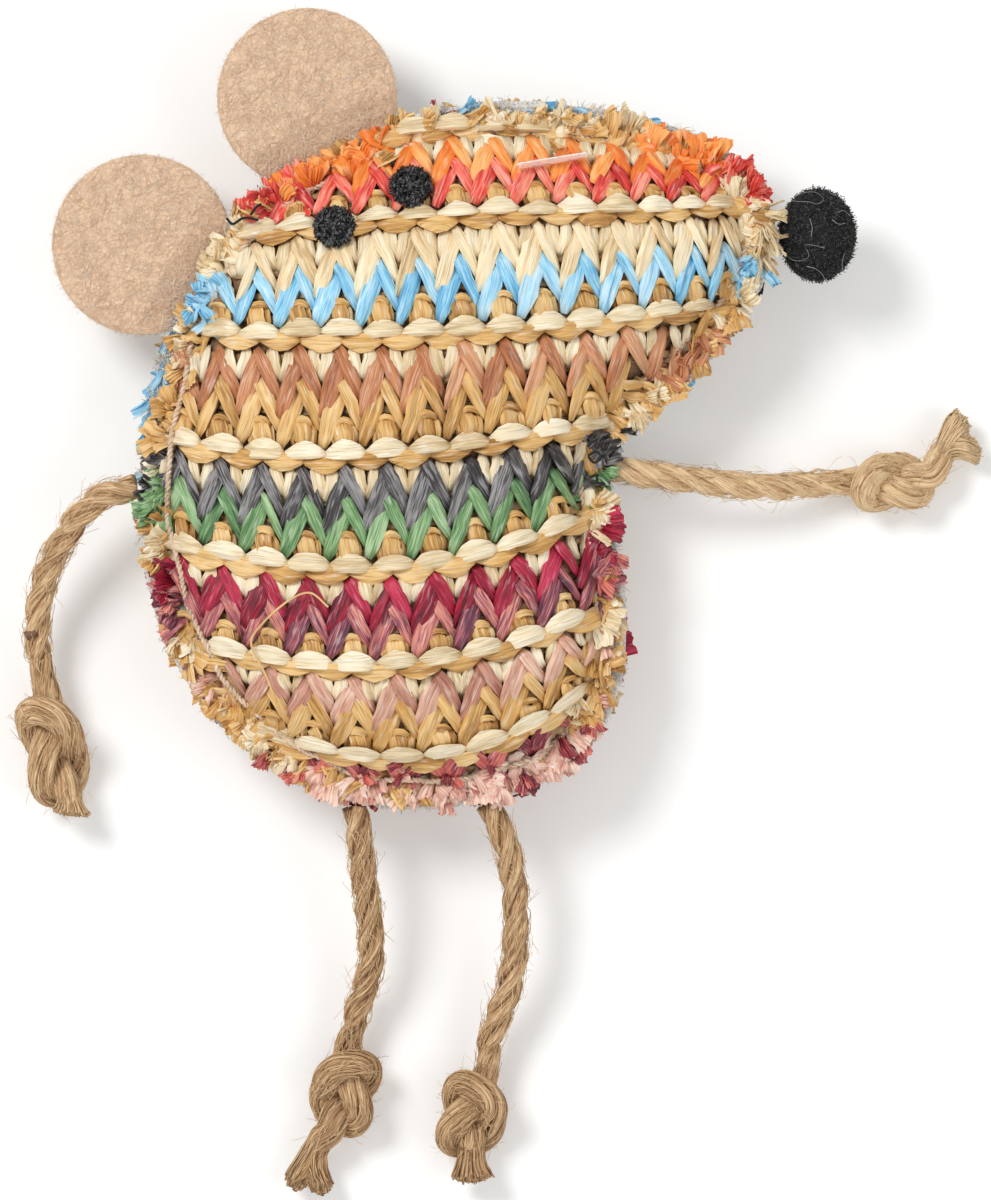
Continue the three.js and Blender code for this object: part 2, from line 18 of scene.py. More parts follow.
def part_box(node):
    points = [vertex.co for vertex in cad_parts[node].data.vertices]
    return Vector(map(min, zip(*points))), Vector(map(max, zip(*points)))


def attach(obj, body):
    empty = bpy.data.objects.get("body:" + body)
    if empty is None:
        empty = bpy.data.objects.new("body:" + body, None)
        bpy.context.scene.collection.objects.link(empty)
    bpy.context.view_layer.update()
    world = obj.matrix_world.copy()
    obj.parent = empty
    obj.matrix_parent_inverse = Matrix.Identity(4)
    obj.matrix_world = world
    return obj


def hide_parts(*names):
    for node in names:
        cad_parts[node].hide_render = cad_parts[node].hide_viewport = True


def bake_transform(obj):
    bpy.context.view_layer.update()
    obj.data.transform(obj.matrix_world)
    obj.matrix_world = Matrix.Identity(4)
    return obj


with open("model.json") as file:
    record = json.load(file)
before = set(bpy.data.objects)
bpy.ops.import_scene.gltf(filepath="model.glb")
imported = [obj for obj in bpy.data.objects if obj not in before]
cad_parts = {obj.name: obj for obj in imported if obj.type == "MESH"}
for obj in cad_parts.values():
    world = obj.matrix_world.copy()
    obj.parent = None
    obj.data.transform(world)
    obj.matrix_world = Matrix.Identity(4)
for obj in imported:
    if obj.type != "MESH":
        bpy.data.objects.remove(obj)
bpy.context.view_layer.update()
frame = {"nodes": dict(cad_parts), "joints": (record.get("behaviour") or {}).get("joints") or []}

MM = 0.001
joints = {joint["name"]: joint for joint in frame["joints"]}
seam_height = (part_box("front_lining")[0][2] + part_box("back_lining")[1][2]) / 2
print("nodes", len(frame["nodes"]), "seam height", round(seam_height / MM, 2), "mm")

# %% [markdown]
# ## The camera
# The photograph looks straight down. One of its pixels is 0.15 mm at the height of the seam, and that
# fixes the lens: a long one from far off keeps the limbs' sizes true, as the photograph's are.

# %% Camera over the toy
IMAGE_PIXELS = (991, 1200)
ORIGIN_PIXEL = (390, 450)
PIXEL = 0.15 * MM
CAMERA_HEIGHT = 1.6
SENSOR_HEIGHT = 24


def linked(name, data):
    """A new object of the scene."""
    thing = bpy.data.objects.new(name, data)
    bpy.context.scene.collection.objects.link(thing)
    return thing


camera_data = bpy.data.cameras.new("camera")
camera_data.sensor_fit = "VERTICAL"
camera_data.sensor_height = SENSOR_HEIGHT
camera_data.lens = SENSOR_HEIGHT * (CAMERA_HEIGHT - seam_height) / (IMAGE_PIXELS[1] * PIXEL)
camera = linked("camera", camera_data)
camera.location = (
    (IMAGE_PIXELS[0] / 2 - ORIGIN_PIXEL[0]) * PIXEL,
    (ORIGIN_PIXEL[1] - IMAGE_PIXELS[1] / 2) * PIXEL,
    CAMERA_HEIGHT,
)
bpy.context.scene.camera = camera
bpy.context.scene.view_settings.view_transform = "Standard"
print("lens", round(camera_data.lens, 1), "mm")

# %% [markdown]
# ## Lines that things follow
# Ropes, knots and threads all follow a smooth line through a few places. A centripetal spline is used
# because it doesn't overshoot where the places are close together, and it is the one that the frame's
# solids follow.

# %% A smooth line, evenly spaced
SPLINE_STEPS = 24


def unit(ways):
    """The same directions, each with a length of 1."""
    return ways / np.linalg.norm(ways, axis=-1, keepdims=True)


def run_along(line):
    """How far along a line each of its points is."""
    return np.concatenate([[0], np.cumsum(np.linalg.norm(np.diff(line, axis=0), axis=1))])


def evenly(line, spacing):
    """The same line with its points about spacing apart."""
    run = run_along(line)
    marks = np.linspace(0, run[-1], max(2, round(run[-1] / spacing) + 1))
    return np.stack([np.interp(marks, run, line[:, k]) for k in range(3)], axis=1)


def smooth_line(places, spacing):
    """Points about spacing apart on a centripetal spline through places."""
    p = np.array(places, float)
    p = np.vstack([2 * p[0] - p[1], p, 2 * p[-1] - p[-2]])
    t = np.linspace(0, 1, SPLINE_STEPS, endpoint=False)[:, None]
    dense = []
    for a, b, c, d in zip(p, p[1:], p[2:], p[3:]):
        ab, bc, cd = (math.sqrt(np.linalg.norm(v)) for v in (b - a, c - b, d - c))
        out = ((b - a) / ab - (c - a) / (ab + bc) + (c - b) / bc) * bc
        back = ((c - b) / bc - (d - b) / (bc + cd) + (d - c) / cd) * bc
        bow = (3 * (c - b) - 2 * out - back) * t**2
        dense.append(b + out * t + bow + (2 * (b - c) + out + back) * t**3)
    return evenly(np.vstack([*dense, p[-2:-1]]), spacing)


def line_length(line):
    return float(np.linalg.norm(np.diff(line, axis=0), axis=1).sum())


def directions_along(line):
    """At each point: the way on, and two directions across that don't twist about the line."""
    on = unit(np.gradient(line, axis=0))
    across = np.empty_like(on)
    side = np.cross(on[0], (0, 0, 1))
    for i, way in enumerate(on):
        side = side - way * side.dot(way)
        side = side / np.linalg.norm(side)
        across[i] = side
    return on, across, np.cross(across, on)


def turned(angle, across, up):
    """Directions at an angle about a line, from the two directions across it."""
    return np.cos(angle)[:, None] * across + np.sin(angle)[:, None] * up


def on_the_level(angle):
    """Flat directions from angles."""
    return np.stack([np.cos(angle), np.sin(angle)], axis=1)


# %% [markdown]
# ## The limbs' routes
# Each limb is one jute rope that leaves the seam, droops to the ground and ends in an overhand knot with
# a frayed tail. The places are those of the frame's solids: seen from above, counted from the pivot in
# the seam. Of each knot, the first size is the one of the frame's solid, and the second is how tight it
# is drawn here.

# %% Ropes and knots as lines
ROPE_DIAMETER = 4.1 * MM
KNOT_STRAND = 3.3 * MM
KNOT_LIFT = 0.3 * MM
LAYER_GAP = 0.3 * MM
LINE_STEP = 0.4 * MM
KNOT_HALF_HEIGHT = 0.92
KNOT_HALF = [
    (-2.75, -0.3, -0.05), (-1.9, -0.3, -0.05), (-1.01, -0.43, -0.05), (-0.43, -0.74, 0.33),
    (0.15, -1.19, 0.5), (0.79, -1.48, 0.26), (1.28, -1.35, -0.28), (1.36, -0.83, -0.8),
    (1.11, -0.14, -0.9), (0.61, 0.31, -0.59),
]
KNOT_MIDDLE = (0, 0.35, 0)
LIMBS = {
    "left_arm": dict(
        knot=5.1, drawn=4.7, squeeze=0.62, side=1, turn=9, tones=(0.3, 0.9), tail=[],
        brush=1.2, brush_way=(-0.15, -1), brush_width=5.4, bundles=1,
        route=[(-3.6, -1.05), (-7.35, -4.5), (-10.35, -9), (-12.3, -13.5), (-13.35, -18), (-13.6, -21.5),
               (-13.4, -25)]),
    "right_arm": dict(
        knot=3.95, drawn=3.1, squeeze=0.78, side=1, turn=0, tones=(0.85, 1.4),
        tail=[(1.2, 1.6, -0.4), (2.4, 4.0, -1.0)],
        brush=4.6, brush_way=(1, 0.45), brush_width=8.6, bundles=2,
        route=[(5.7, -0.9), (13.2, -1.8), (22.2, -2.55), (26.2, -2.3), (29.8, -2)]),
    "left_leg": dict(
        knot=3.95, drawn=3.35, squeeze=0.95, side=-1, turn=4, tones=(0.1, 0.7),
        tail=[(1.6, 1.0, -0.3), (3.4, 1.6, -1)],
        brush=6.0, brush_way=(-0.16, -1), brush_width=7.0, bundles=2,
        route=[(0.6, -4.5), (1.2, -10.35), (1.8, -15.45), (2.1, -20.25), (1.5, -24.15), (0.6, -27),
               (-0.4, -30.3)]),
    "right_leg": dict(
        knot=3.95, drawn=3.35, squeeze=0.95, side=1, turn=8, tones=(0.1, 0.7), tail=[],
        brush=3.4, brush_way=(0.05, -1), brush_width=6.0, bundles=1,
        route=[(1.95, -4.65), (3, -9.75), (3.3, -18), (3, -22.35), (1.95, -27.45), (0.55, -31),
               (-0.6, -34.7)]),
}


def rope_line(name):
    limb = LIMBS[name]
    pivot = np.array(joints[f"{name}_swing"]["pos_m"])
    drop = seam_height - KNOT_LIFT - KNOT_HALF_HEIGHT * limb["knot"] * MM - KNOT_STRAND / 2
    share = np.linspace(0, 1, len(limb["route"]) + 1)
    fall = drop * share**2 * (3 - 2 * share)
    level = [(0, 0), *limb["route"]]
    return smooth_line([pivot + (x * MM, y * MM, -z) for (x, y), z in zip(level, fall)], LINE_STEP)


def knot_line(name):
    limb = LIMBS[name]
    rope = rope_line(name)
    turn = math.radians(limb["turn"])
    x, y, _ = rope[-1] - rope[-2]
    along = np.array([x * math.cos(turn) - y * math.sin(turn), x * math.sin(turn) + y * math.cos(turn), 0])
    along /= np.linalg.norm(along)
    across = np.cross((0, 0, 1), along) * limb["side"]
    second = [(-x, y, -z) for x, y, z in KNOT_HALF[:0:-1]]
    places = limb["drawn"] * np.array([*KNOT_HALF, KNOT_MIDDLE, *second]) * (1, limb["squeeze"], 1)
    places = np.vstack([places, *[places[-1:] + place for place in limb["tail"]]]) - places[0]
    tighter = limb["knot"] - limb["drawn"]
    places[1:] += (-KNOT_HALF[0][0] * tighter, 0, -KNOT_HALF_HEIGHT * tighter)
    start = rope[-1] + along * LAYER_GAP
    up = np.array((0, 0, 1))
    return smooth_line([start + MM * (x * along + y * across + z * up) for x, y, z in places], LINE_STEP)


rope_lines = {name: rope_line(name) for name in LIMBS}
knot_lines = {name: knot_line(name) for name in LIMBS}
for name in LIMBS:
    lengths = [round(line_length(lines[name]) / MM, 1) for lines in (rope_lines, knot_lines)]
    print(name, "rope and knot in mm", lengths)

# %% [markdown]
# ## Light, floor and background
# The toy lies on a pale floor in soft studio light. A colour should render about as it is written, so the
# sky and the lamps together give the light that a white card needs to look white. The floor adds a little
# light of its own for the camera alone, so it is nearly white and still shows the shadow.

# %% Shader maths
class Wire:
    """The output of a shader node. Arithmetic on it adds Math nodes."""

    def __init__(self, nodes, socket):
        self.nodes = nodes
        self.socket = socket

    def math(self, operation, *values):
        return self.nodes.node("ShaderNodeMath", {"operation": operation}, dict(enumerate(values)))

    def __add__(self, other):
        return self.math("ADD", self, other)

    def __sub__(self, other):
        return self.math("SUBTRACT", self, other)

    def __rsub__(self, other):
        return self.math("SUBTRACT", other, self)

    def __mul__(self, other):
        return self.math("MULTIPLY", self, other)

    def __abs__(self):
        return self.math("ABSOLUTE", self)

    def clipped(self):
        return self.math("MINIMUM", self.math("MAXIMUM", self, 0), 1)

    __radd__ = __add__
    __rmul__ = __mul__


class Nodes:
    """A node tree while it is filled."""

    def __init__(self, tree):
        self.tree = tree

    def node(self, kind, settings=None, sockets=None, out=0):
        """Adds a node, sets it up, fills or links its sockets, and gives one of its outputs."""
        node = self.tree.nodes.new(kind)
        for key, value in (settings or {}).items():
            if key == "stops":
                self.set_stops(node.color_ramp, value)
            else:
                setattr(node, key, value)
        for key, value in (sockets or {}).items():
            socket = node.inputs[key] if isinstance(key, int) else next(
                s for s in node.inputs if s.enabled and s.name == key)
            self.feed(socket, value)
        return Wire(self, node.outputs[out])

    def set_stops(self, ramp, stops):
        while len(ramp.elements) < len(stops):
            ramp.elements.new(0.5)
        for element, (place, tint) in zip(ramp.elements, stops):
            element.position = place
            element.color = tint

    def feed(self, socket, value):
        if isinstance(value, Wire):
            self.tree.links.new(value.socket, socket)
        else:
            socket.default_value = value


class Look(Nodes):
    """A material while it is made."""

    def __init__(self, name, **constants):
        self.material = bpy.data.materials.new(name)
        self.material.use_nodes = True
        super().__init__(self.material.node_tree)
        self.surface = self.tree.nodes["Principled BSDF"]
        self.set(**constants)

    def set(self, **values):
        for name, value in values.items():
            self.feed(self.surface.inputs[name.replace("_", " ")], value)

    def place(self, source="Object", scale=(1, 1, 1)):
        """Coordinates in the piece, in the unit that scale makes."""
        where = self.node("ShaderNodeTexCoord", None, None, source)
        return self.node("ShaderNodeMapping", None, {"Vector": where, "Scale": scale})

    def tone(self):
        """The tone that the points of a piece carry."""
        return self.node("ShaderNodeAttribute", {"attribute_name": "tone"}, None, "Fac")

    def noise(self, vector, scale=1, detail=2, distortion=0):
        return self.node("ShaderNodeTexNoise", None,
                         {"Vector": vector, "Scale": scale, "Detail": detail, "Distortion": distortion})

    def mixed(self, factor, a, b):
        return self.node("ShaderNodeMix", {"data_type": "RGBA"}, {"Factor": factor, "A": a, "B": b}, 2)

    def ramp(self, factor, *stops):
        return self.node("ShaderNodeValToRGB", {"stops": stops}, {"Fac": factor})

    def bump(self, height, strength, depth):
        self.set(Normal=self.node("ShaderNodeBump", None,
                                  {"Height": height, "Strength": strength, "Distance": depth}))


def colour(red, green, blue):
    """A colour as it looks on the screen, from 0 to 255, for a shader socket."""
    shares = [value / 255 for value in (red, green, blue)]
    return tuple(s / 12.92 if s <= 0.04045 else ((s + 0.055) / 1.055) ** 2.4 for s in shares) + (1.0,)


# %% [markdown]
# The world lights the toy evenly from all sides. To the camera, to a mirror and through a clear piece it
# is a plain backdrop instead, which takes nothing from that light. Three discs add a key light, a fill
# and a low light, and each share is how much of the light on a level white card comes from it.

# %% World, lamps and floor
SKY_SHARE = 0.52
BACKDROP = (0.8, 0.8, 0.8, 1)
WHITE = (1, 1, 1, 1)
BLACK = (0, 0, 0, 1)
LAMPS = {
    "key_lamp": dict(place=(-0.55, 0.5, 0.95), size=0.45, share=0.42),
    "fill_lamp": dict(place=(0.75, -0.2, 0.8), size=0.7, share=0.12),
    "low_lamp": dict(place=(0.0, -0.9, 0.45), size=0.7, share=0.06),
}
FLOOR_SIZE = 6.0
FLOOR_DROP = 0.02 * MM
FLOOR_TINT = (247, 247, 246)
FLOOR_GLOW = 0.13

world = bpy.data.worlds.new("studio")
bpy.context.scene.world = world
world.use_nodes = True
studio = Nodes(world.node_tree)
sky = studio.tree.nodes["Background"]
sky.inputs["Color"].default_value = WHITE
sky.inputs["Strength"].default_value = SKY_SHARE
camera_ray, glossy_ray, clear_ray = (
    studio.node("ShaderNodeLightPath", None, None, f"Is {kind} Ray")
    for kind in ("Camera", "Glossy", "Transmission"))
sky_or_backdrop = studio.node("ShaderNodeMixShader", None, {
    0: (camera_ray + glossy_ray + clear_ray).clipped(),
    1: Wire(studio, sky.outputs[0]),
    2: studio.node("ShaderNodeBackground", None, {"Color": BACKDROP, "Strength": 1}),
})
studio.feed(studio.tree.nodes["World Output"].inputs["Surface"], sky_or_backdrop)

for name, lamp in LAMPS.items():
    place = Vector(lamp["place"])
    data = bpy.data.lights.new(name, "AREA")
    data.shape = "DISK"
    data.size = lamp["size"]
    data.energy = lamp["share"] * math.pi**2 * place.length**3 / place.z
    lamp_object = linked(name, data)
    lamp_object.location = place
    lamp_object.rotation_euler = place.to_track_quat("Z", "Y").to_euler()

bpy.ops.object.select_all(action="DESELECT")
bpy.ops.mesh.primitive_plane_add(size=FLOOR_SIZE, location=(0, 0, -FLOOR_DROP))
floor = bpy.context.active_object
floor.name = "floor"
floor_look = Look("pale_floor", Roughness=1.0, Base_Color=colour(*FLOOR_TINT), Specular_IOR_Level=0,
                  Emission_Strength=FLOOR_GLOW)
seen_by_camera = floor_look.node("ShaderNodeLightPath", None, None, "Is Camera Ray")
floor_look.set(Emission_Color=floor_look.mixed(seen_by_camera, BLACK, WHITE))
floor.data.materials.append(floor_look.material)
print("lamps", len(LAMPS), "light in all", SKY_SHARE + sum(lamp["share"] for lamp in LAMPS.values()))

# %% [markdown]
# ## The finishes
# Raffia is a flat strip with fine lengthwise streaks, a soft gloss and an uneven dye. Its colour also
# carries painted highlights along the strip and painted shade in thin fold lines. Its pattern has to run
# along each strip, so it reads the strip's own UV map, in millimetres, and each strip has a tone of its own.

# %% Raffia
BROAD_STREAKS = (0.16, 1.1, 1)
FINE_STREAKS = (0.3, 4.5, 1)
PAINTED_GLINT_STREAKS = (0.3, 1.9, 1)
FOLD_SHADE_STREAKS = (0.18, 6.5, 1)
# How much painted highlight and painted fold shade are mixed into the raffia's colour.
PAINTED_GLINT = 0.45
FOLD_SHADE = 0.42


def glint_tint(tint):
    return tuple(0.55 * value + 0.45 for value in tint[:3]) + (1.0,)


def fold_shade_tint(tint):
    return tuple(0.58 * value for value in tint[:3]) + (1.0,)


def raffia_look(name, tints, streak):
    """Streaks along the strip, painted highlights in glints, and painted shade in the thin dark lines of its
    folds.
    """
    main, light, dark = (colour(*tint) for tint in tints)
    look = Look(f"raffia_{name}")
    broad = look.noise(look.place("UV", BROAD_STREAKS))
    fine = look.noise(look.place("UV", FINE_STREAKS), 1, 3, 0.4)
    glint_noise = look.noise(look.place("UV", PAINTED_GLINT_STREAKS))
    folds = look.noise(look.place("UV", FOLD_SHADE_STREAKS), 1, 1)
    mix = ((fine - 0.5) * streak * 2 + (broad - 0.5) * 1.1 + (look.tone() - 0.5) * 0.5 + 0.5).clipped()
    base = look.ramp(mix, (0.1, dark), (0.47, main), (0.84, light))
    # Painted highlight: where this noise is high, the colour is mixed towards a pale tint.
    painted_glint = ((glint_noise - 0.56) * 7).clipped()
    # Painted shade: thin dark lines where the strip folds, mixed towards a darker tint.
    line = ((0.4 - folds) * 11).clipped()
    base = look.mixed(painted_glint * PAINTED_GLINT, base, glint_tint(light))
    base = look.mixed(line * FOLD_SHADE, base, fold_shade_tint(dark))
    look.set(Base_Color=base, Roughness=0.62 - painted_glint * 0.28 - fine * 0.1)
    look.bump(fine * 0.7 + broad * 0.5 - line * 0.5, 0.6, 0.22 * MM)
    return look.material


YARNS = {
    "cream": ((240, 221, 182), (253, 241, 214), (208, 180, 134)),
    "tan": ((222, 174, 102), (240, 204, 144), (166, 116, 56)),
    "pale_cream": ((246, 221, 176), (253, 240, 208), (202, 168, 118)),
    "blue": ((149, 212, 241), (210, 237, 249), (90, 164, 208)),
    "orange": ((252, 148, 58), (255, 190, 116), (228, 104, 34)),
    "red": ((236, 74, 60), (254, 166, 140), (176, 34, 40)),
    "copper": ((200, 132, 88), (224, 172, 132), (148, 84, 52)),
    "grey": ((72, 68, 69), (150, 147, 147), (28, 24, 25)),
    "green": ((120, 160, 104), (174, 206, 156), (58, 101, 60)),
    "magenta": ((160, 12, 48), (208, 56, 90), (80, 6, 28)),
    "purple": ((164, 84, 98), (230, 152, 132), (82, 42, 64)),
    "mauve": ((210, 154, 130), (240, 202, 178), (156, 98, 80)),
    "wine": ((164, 60, 70), (234, 134, 120), (76, 26, 44)),
    "pink": ((240, 200, 180), (253, 230, 214), (194, 124, 112)),
    "salmon": ((226, 122, 106), (246, 176, 152), (158, 64, 70)),
    "dark": ((62, 54, 56), (120, 112, 112), (24, 20, 22)),
    "float": ((172, 136, 92), (204, 172, 124), (88, 66, 50)),
}
PLAIN_STREAK = 0.5
STREAKS = {
    "purple": 0.95, "wine": 0.95, "grey": 1.0, "pink": 0.6, "magenta": 0.65, "salmon": 0.7, "dark": 0.9,
    "red": 0.65, "blue": 0.6, "green": 0.65,
}
raffia = {name: raffia_look(name, tints, STREAKS.get(name, PLAIN_STREAK)) for name, tints in YARNS.items()}
print("raffia colours", len(raffia))

# %% [markdown]
# Jute, thread and yarn are bundles of fine fibres, so their streaks are finer and rougher. Felt and gauze
# are sheets: felt shows curled fibres in every direction, which are the contour lines of a smooth noise,
# and gauze is a weave.

# %% Jute, thread, yarn and the other fibres
FIBRES = {
    "jute": dict(tints=((201, 161, 117), (240, 210, 166), (130, 93, 59)),
                 roughness=0.9, fineness=5.5, contrast=2.4),
    "seam_thread": dict(tints=((232, 203, 174), (250, 233, 214), (176, 134, 104)), roughness=0.7, fineness=6),
    # The black thread's light tint is painted highlight: its pale streaks stand in for the glints of the
    # glossy thread.
    "black_thread": dict(tints=((6, 6, 7), (104, 104, 107), (3, 3, 3)),
                         roughness=0.3, fineness=5, contrast=2.0, sheen=0.22),
    "black_yarn": dict(tints=((22, 22, 24), (52, 53, 57), (8, 8, 9)), roughness=0.95),
    "grey_yarn": dict(tints=((74, 72, 70), (118, 116, 112), (36, 35, 35))),
    "lint": dict(tints=((168, 168, 174), (205, 205, 210), (120, 120, 126)), roughness=0.8),
    "bark": dict(tints=((104, 74, 56), (140, 108, 84), (58, 38, 28))),
    "white_thread": dict(tints=((232, 230, 226), (248, 247, 245), (186, 182, 180))),
    "felt_fibre": dict(tints=((234, 206, 178), (252, 237, 218), (214, 178, 148))),
}


def fibre_look(name, tints, roughness=0.9, fineness=3, contrast=1.5, sheen=0.5):
    main, light, dark = (colour(*tint) for tint in tints)
    look = Look(name, Specular_IOR_Level=sheen)
    fine = look.noise(look.place("UV", (0.3, fineness, 1)), 1, 3, 0.6)
    broad = look.noise(look.place("UV", (0.12, 0.8, 1)))
    mix = ((fine - 0.5) * contrast + (broad - 0.5) * 0.8 + (look.tone() - 0.5) * 0.6 + 0.5).clipped()
    base = look.ramp(mix, (0.1, dark), (0.5, main), (0.9, light))
    look.set(Base_Color=base, Roughness=roughness - fine * 0.2)
    look.bump(fine, 0.7, 0.25 * MM)
    return look.material


fibre = {name: fibre_look(name, **kind) for name, kind in FIBRES.items()}
print("fibres", *fibre)

# %% [markdown]
# Felt and gauze read Object coordinates, because they are sheets with no lay of their own. Their scales
# are per metre. The gauze's tone says how deep it lies under the stitches, and so how much painted shade
# it gets. The tag pin is clear plastic, a little cloudy.

# %% Felt, gauze and plastic
PER_MM = (1000, 1000, 1000)
WEAVE_SCALE = 0.45
WEAVE_WANDER = 2.5
SPECKLE = 0.07


def curled_fibres(look, scale, width):
    """Thin curved lines: where a smooth noise crosses its middle."""
    swirl = look.noise(look.place("Object", (scale, scale, scale)), 1, 1, 1.2)
    return (1 - abs(swirl - 0.5) * (1 / width)).clipped()


def felt_look():
    look = Look("felt")
    light = curled_fibres(look, 420, 0.014) + curled_fibres(look, 560, 0.014)
    light = light + curled_fibres(look, 720, 0.018) * 0.8
    dark = curled_fibres(look, 500, 0.02) + curled_fibres(look, 830, 0.03) * 0.7
    grain = look.noise(look.place("Object", (2300, 2300, 2300)))
    spots = look.noise(look.place("Object", (640, 640, 640)), 1, 1)
    base = look.ramp(grain, (0.3, colour(221, 184, 149)), (0.7, colour(237, 206, 174)))
    base = look.mixed(((spots - 0.6) * 5).clipped() * SPECKLE, base, colour(206, 158, 130))
    base = look.mixed((dark * 0.2).clipped(), base, colour(200, 160, 128))
    base = look.mixed((light * 0.5).clipped(), base, colour(250, 234, 212))
    look.set(Base_Color=base, Roughness=0.95 - light * 0.05)
    look.bump(light + grain * 0.8 - dark * 0.5, 0.4, 0.18 * MM)
    return look.material


def gauze_look():
    """White gauze, with painted shade: a shadowed brown where it lies under the stitches."""
    look = Look("gauze")
    place = look.place("Object", PER_MM)
    wave = {"Vector": place, "Scale": WEAVE_SCALE, "Distortion": WEAVE_WANDER}
    warp, weft = (look.node("ShaderNodeTexWave", {"bands_direction": way}, wave) for way in "XY")
    white = look.mixed((warp * weft).clipped(), colour(228, 225, 220), colour(196, 190, 184))
    # Painted shade: this brown stands for the gauze's shadow under the stitches, and the tone sets how much.
    under_stitch_shade = look.mixed(look.noise(place, 0.6, 3), colour(80, 60, 47), colour(168, 135, 99))
    look.set(Base_Color=look.mixed(look.tone(), white, under_stitch_shade), Roughness=0.9 + warp * 0.1)
    look.bump(warp + weft, 0.5, 0.2 * MM)
    return look.material


def plastic_look():
    look = Look("clear_plastic", IOR=1.49, Transmission_Weight=0.7)
    cloud = look.noise(look.place("Object", (900, 900, 900)))
    tint = look.ramp(cloud, (0.3, colour(246, 214, 204)), (0.7, colour(255, 242, 237)))
    look.set(Base_Color=tint, Roughness=0.12 + cloud * 0.2)
    return look.material


felt = felt_look()
gauze = gauze_look()
clear_plastic = plastic_look()
print("sheets and plastic", felt.name, gauze.name, clear_plastic.name)

# %% [markdown]
# ## One strip, laid many times
# The stitch-work is hundreds of short raffia strips. One strip is modelled from a cylinder: cut across so
# that it can bend, flattened below, and creased along the top. Each copy is then bent along its own short
# curve on the panel. A fibre is the same idea with three sides.

# %% Helpers for modelling
def bar_across(sides, spans):
    """A bar of length 1 along X, cut into spans, in edit mode with nothing selected."""
    bpy.ops.object.select_all(action="DESELECT")
    bpy.ops.mesh.primitive_cylinder_add(vertices=sides, radius=1, depth=1, location=(0.5, 0, 0),
                                        rotation=(0, math.pi / 2, 0))
    bpy.ops.object.transform_apply()
    bpy.ops.object.mode_set(mode="EDIT")
    for span in range(1, spans):
        bpy.ops.mesh.select_all(action="SELECT")
        bpy.ops.mesh.bisect(plane_co=(span / spans, 0, 0), plane_no=(1, 0, 0))
    bpy.ops.mesh.select_all(action="DESELECT")
    bpy.ops.object.mode_set(mode="OBJECT")
    return bpy.context.active_object


def select_places(thing, rule):
    """Selects the vertices whose place follows a rule, ready for an operator in edit mode."""
    bpy.ops.object.mode_set(mode="EDIT")
    bpy.ops.mesh.select_all(action="DESELECT")
    bpy.ops.mesh.select_mode(type="VERT")
    bpy.ops.object.mode_set(mode="OBJECT")
    for vertex in thing.data.vertices:
        vertex.select = rule(vertex.co)
    bpy.ops.object.mode_set(mode="EDIT")


def places_of(thing):
    """Where the vertices of a mesh are."""
    return np.array([vertex.co[:] for vertex in thing.data.vertices])


def move_to(thing, places):
    thing.data.vertices.foreach_set("co", places.ravel())


def shade_and_fill(thing, material):
    """Smooth shading, and one material all over."""
    thing.data.polygons.foreach_set("use_smooth", [True] * len(thing.data.polygons))
    thing.data.materials.clear()
    thing.data.materials.append(material)


def pattern_from(thing, spans):
    """The numbers of a modelled strip: each vertex's ring, its place across and its height, and the faces."""
    places = places_of(thing)
    faces = [list(face.vertices) for face in thing.data.polygons]
    bpy.data.objects.remove(thing)
    turn = np.arctan2(places[:, 1], places[:, 2])
    fold = np.unique(np.round(turn, 3), return_inverse=True)[1]
    return dict(ring=np.rint(places[:, 0] * spans).astype(int), across=places[:, 1], up=places[:, 2],
                share=places[:, 0], faces=faces, spans=spans, fold=fold)


# %% [markdown]
# The strip is an eight-sided bar. What lies below its middle is pressed flat, and its top is pushed down
# between two folds of different heights. The opened end of a strip is a sheet in pleats: a grid with
# every other line pulled up.

# %% Model the strip, the opened end and the fibre
STRIP_SIDES = 8
STRIP_SPANS = 6
FIBRE_SIDES = 3
FIBRE_SPANS = 4
OPEN_SPANS = 5
OPEN_PLEATS = 8
FLATTENED_BELOW = -0.1
TOP_FROM = 0.9
SHOULDER_FROM = 0.5

strip = bar_across(STRIP_SIDES, STRIP_SPANS)
select_places(strip, lambda co: co.z < FLATTENED_BELOW)
bpy.ops.transform.resize(value=(1, 1, 0.35))
select_places(strip, lambda co: SHOULDER_FROM < co.z < TOP_FROM and co.y > 0)
bpy.ops.transform.translate(value=(0, -0.17, 0.2))
select_places(strip, lambda co: co.z > TOP_FROM)
bpy.ops.transform.translate(value=(0, -0.06, -0.42))
bpy.ops.object.mode_set(mode="OBJECT")
STRIP = pattern_from(strip, STRIP_SPANS)

bpy.ops.object.select_all(action="DESELECT")
bpy.ops.mesh.primitive_grid_add(x_subdivisions=OPEN_SPANS, y_subdivisions=OPEN_PLEATS, size=2,
                                location=(1, 0, -1))
bpy.ops.object.transform_apply(location=True, rotation=False, scale=False)
opened = bpy.context.active_object
select_places(opened, lambda co: True)
bpy.ops.transform.resize(value=(0.5, 1, 1), center_override=(0, 0, -1))
select_places(opened, lambda co: round((co.y + 1) / 2 * OPEN_PLEATS) % 2 == 1)
bpy.ops.transform.translate(value=(0, 0, 2))
bpy.ops.object.mode_set(mode="OBJECT")
OPEN = pattern_from(opened, OPEN_SPANS)
FIBRE = pattern_from(bar_across(FIBRE_SIDES, FIBRE_SPANS), FIBRE_SPANS)
print("faces: strip", len(STRIP["faces"]), "opened end", len(OPEN["faces"]), "fibre", len(FIBRE["faces"]))

# %% [markdown]
# The copies of one colour become one mesh. For each copy there are a few control places, the way that its
# top faces, its half widths on either side and its thickness. Everything is worked out for all copies at
# once.

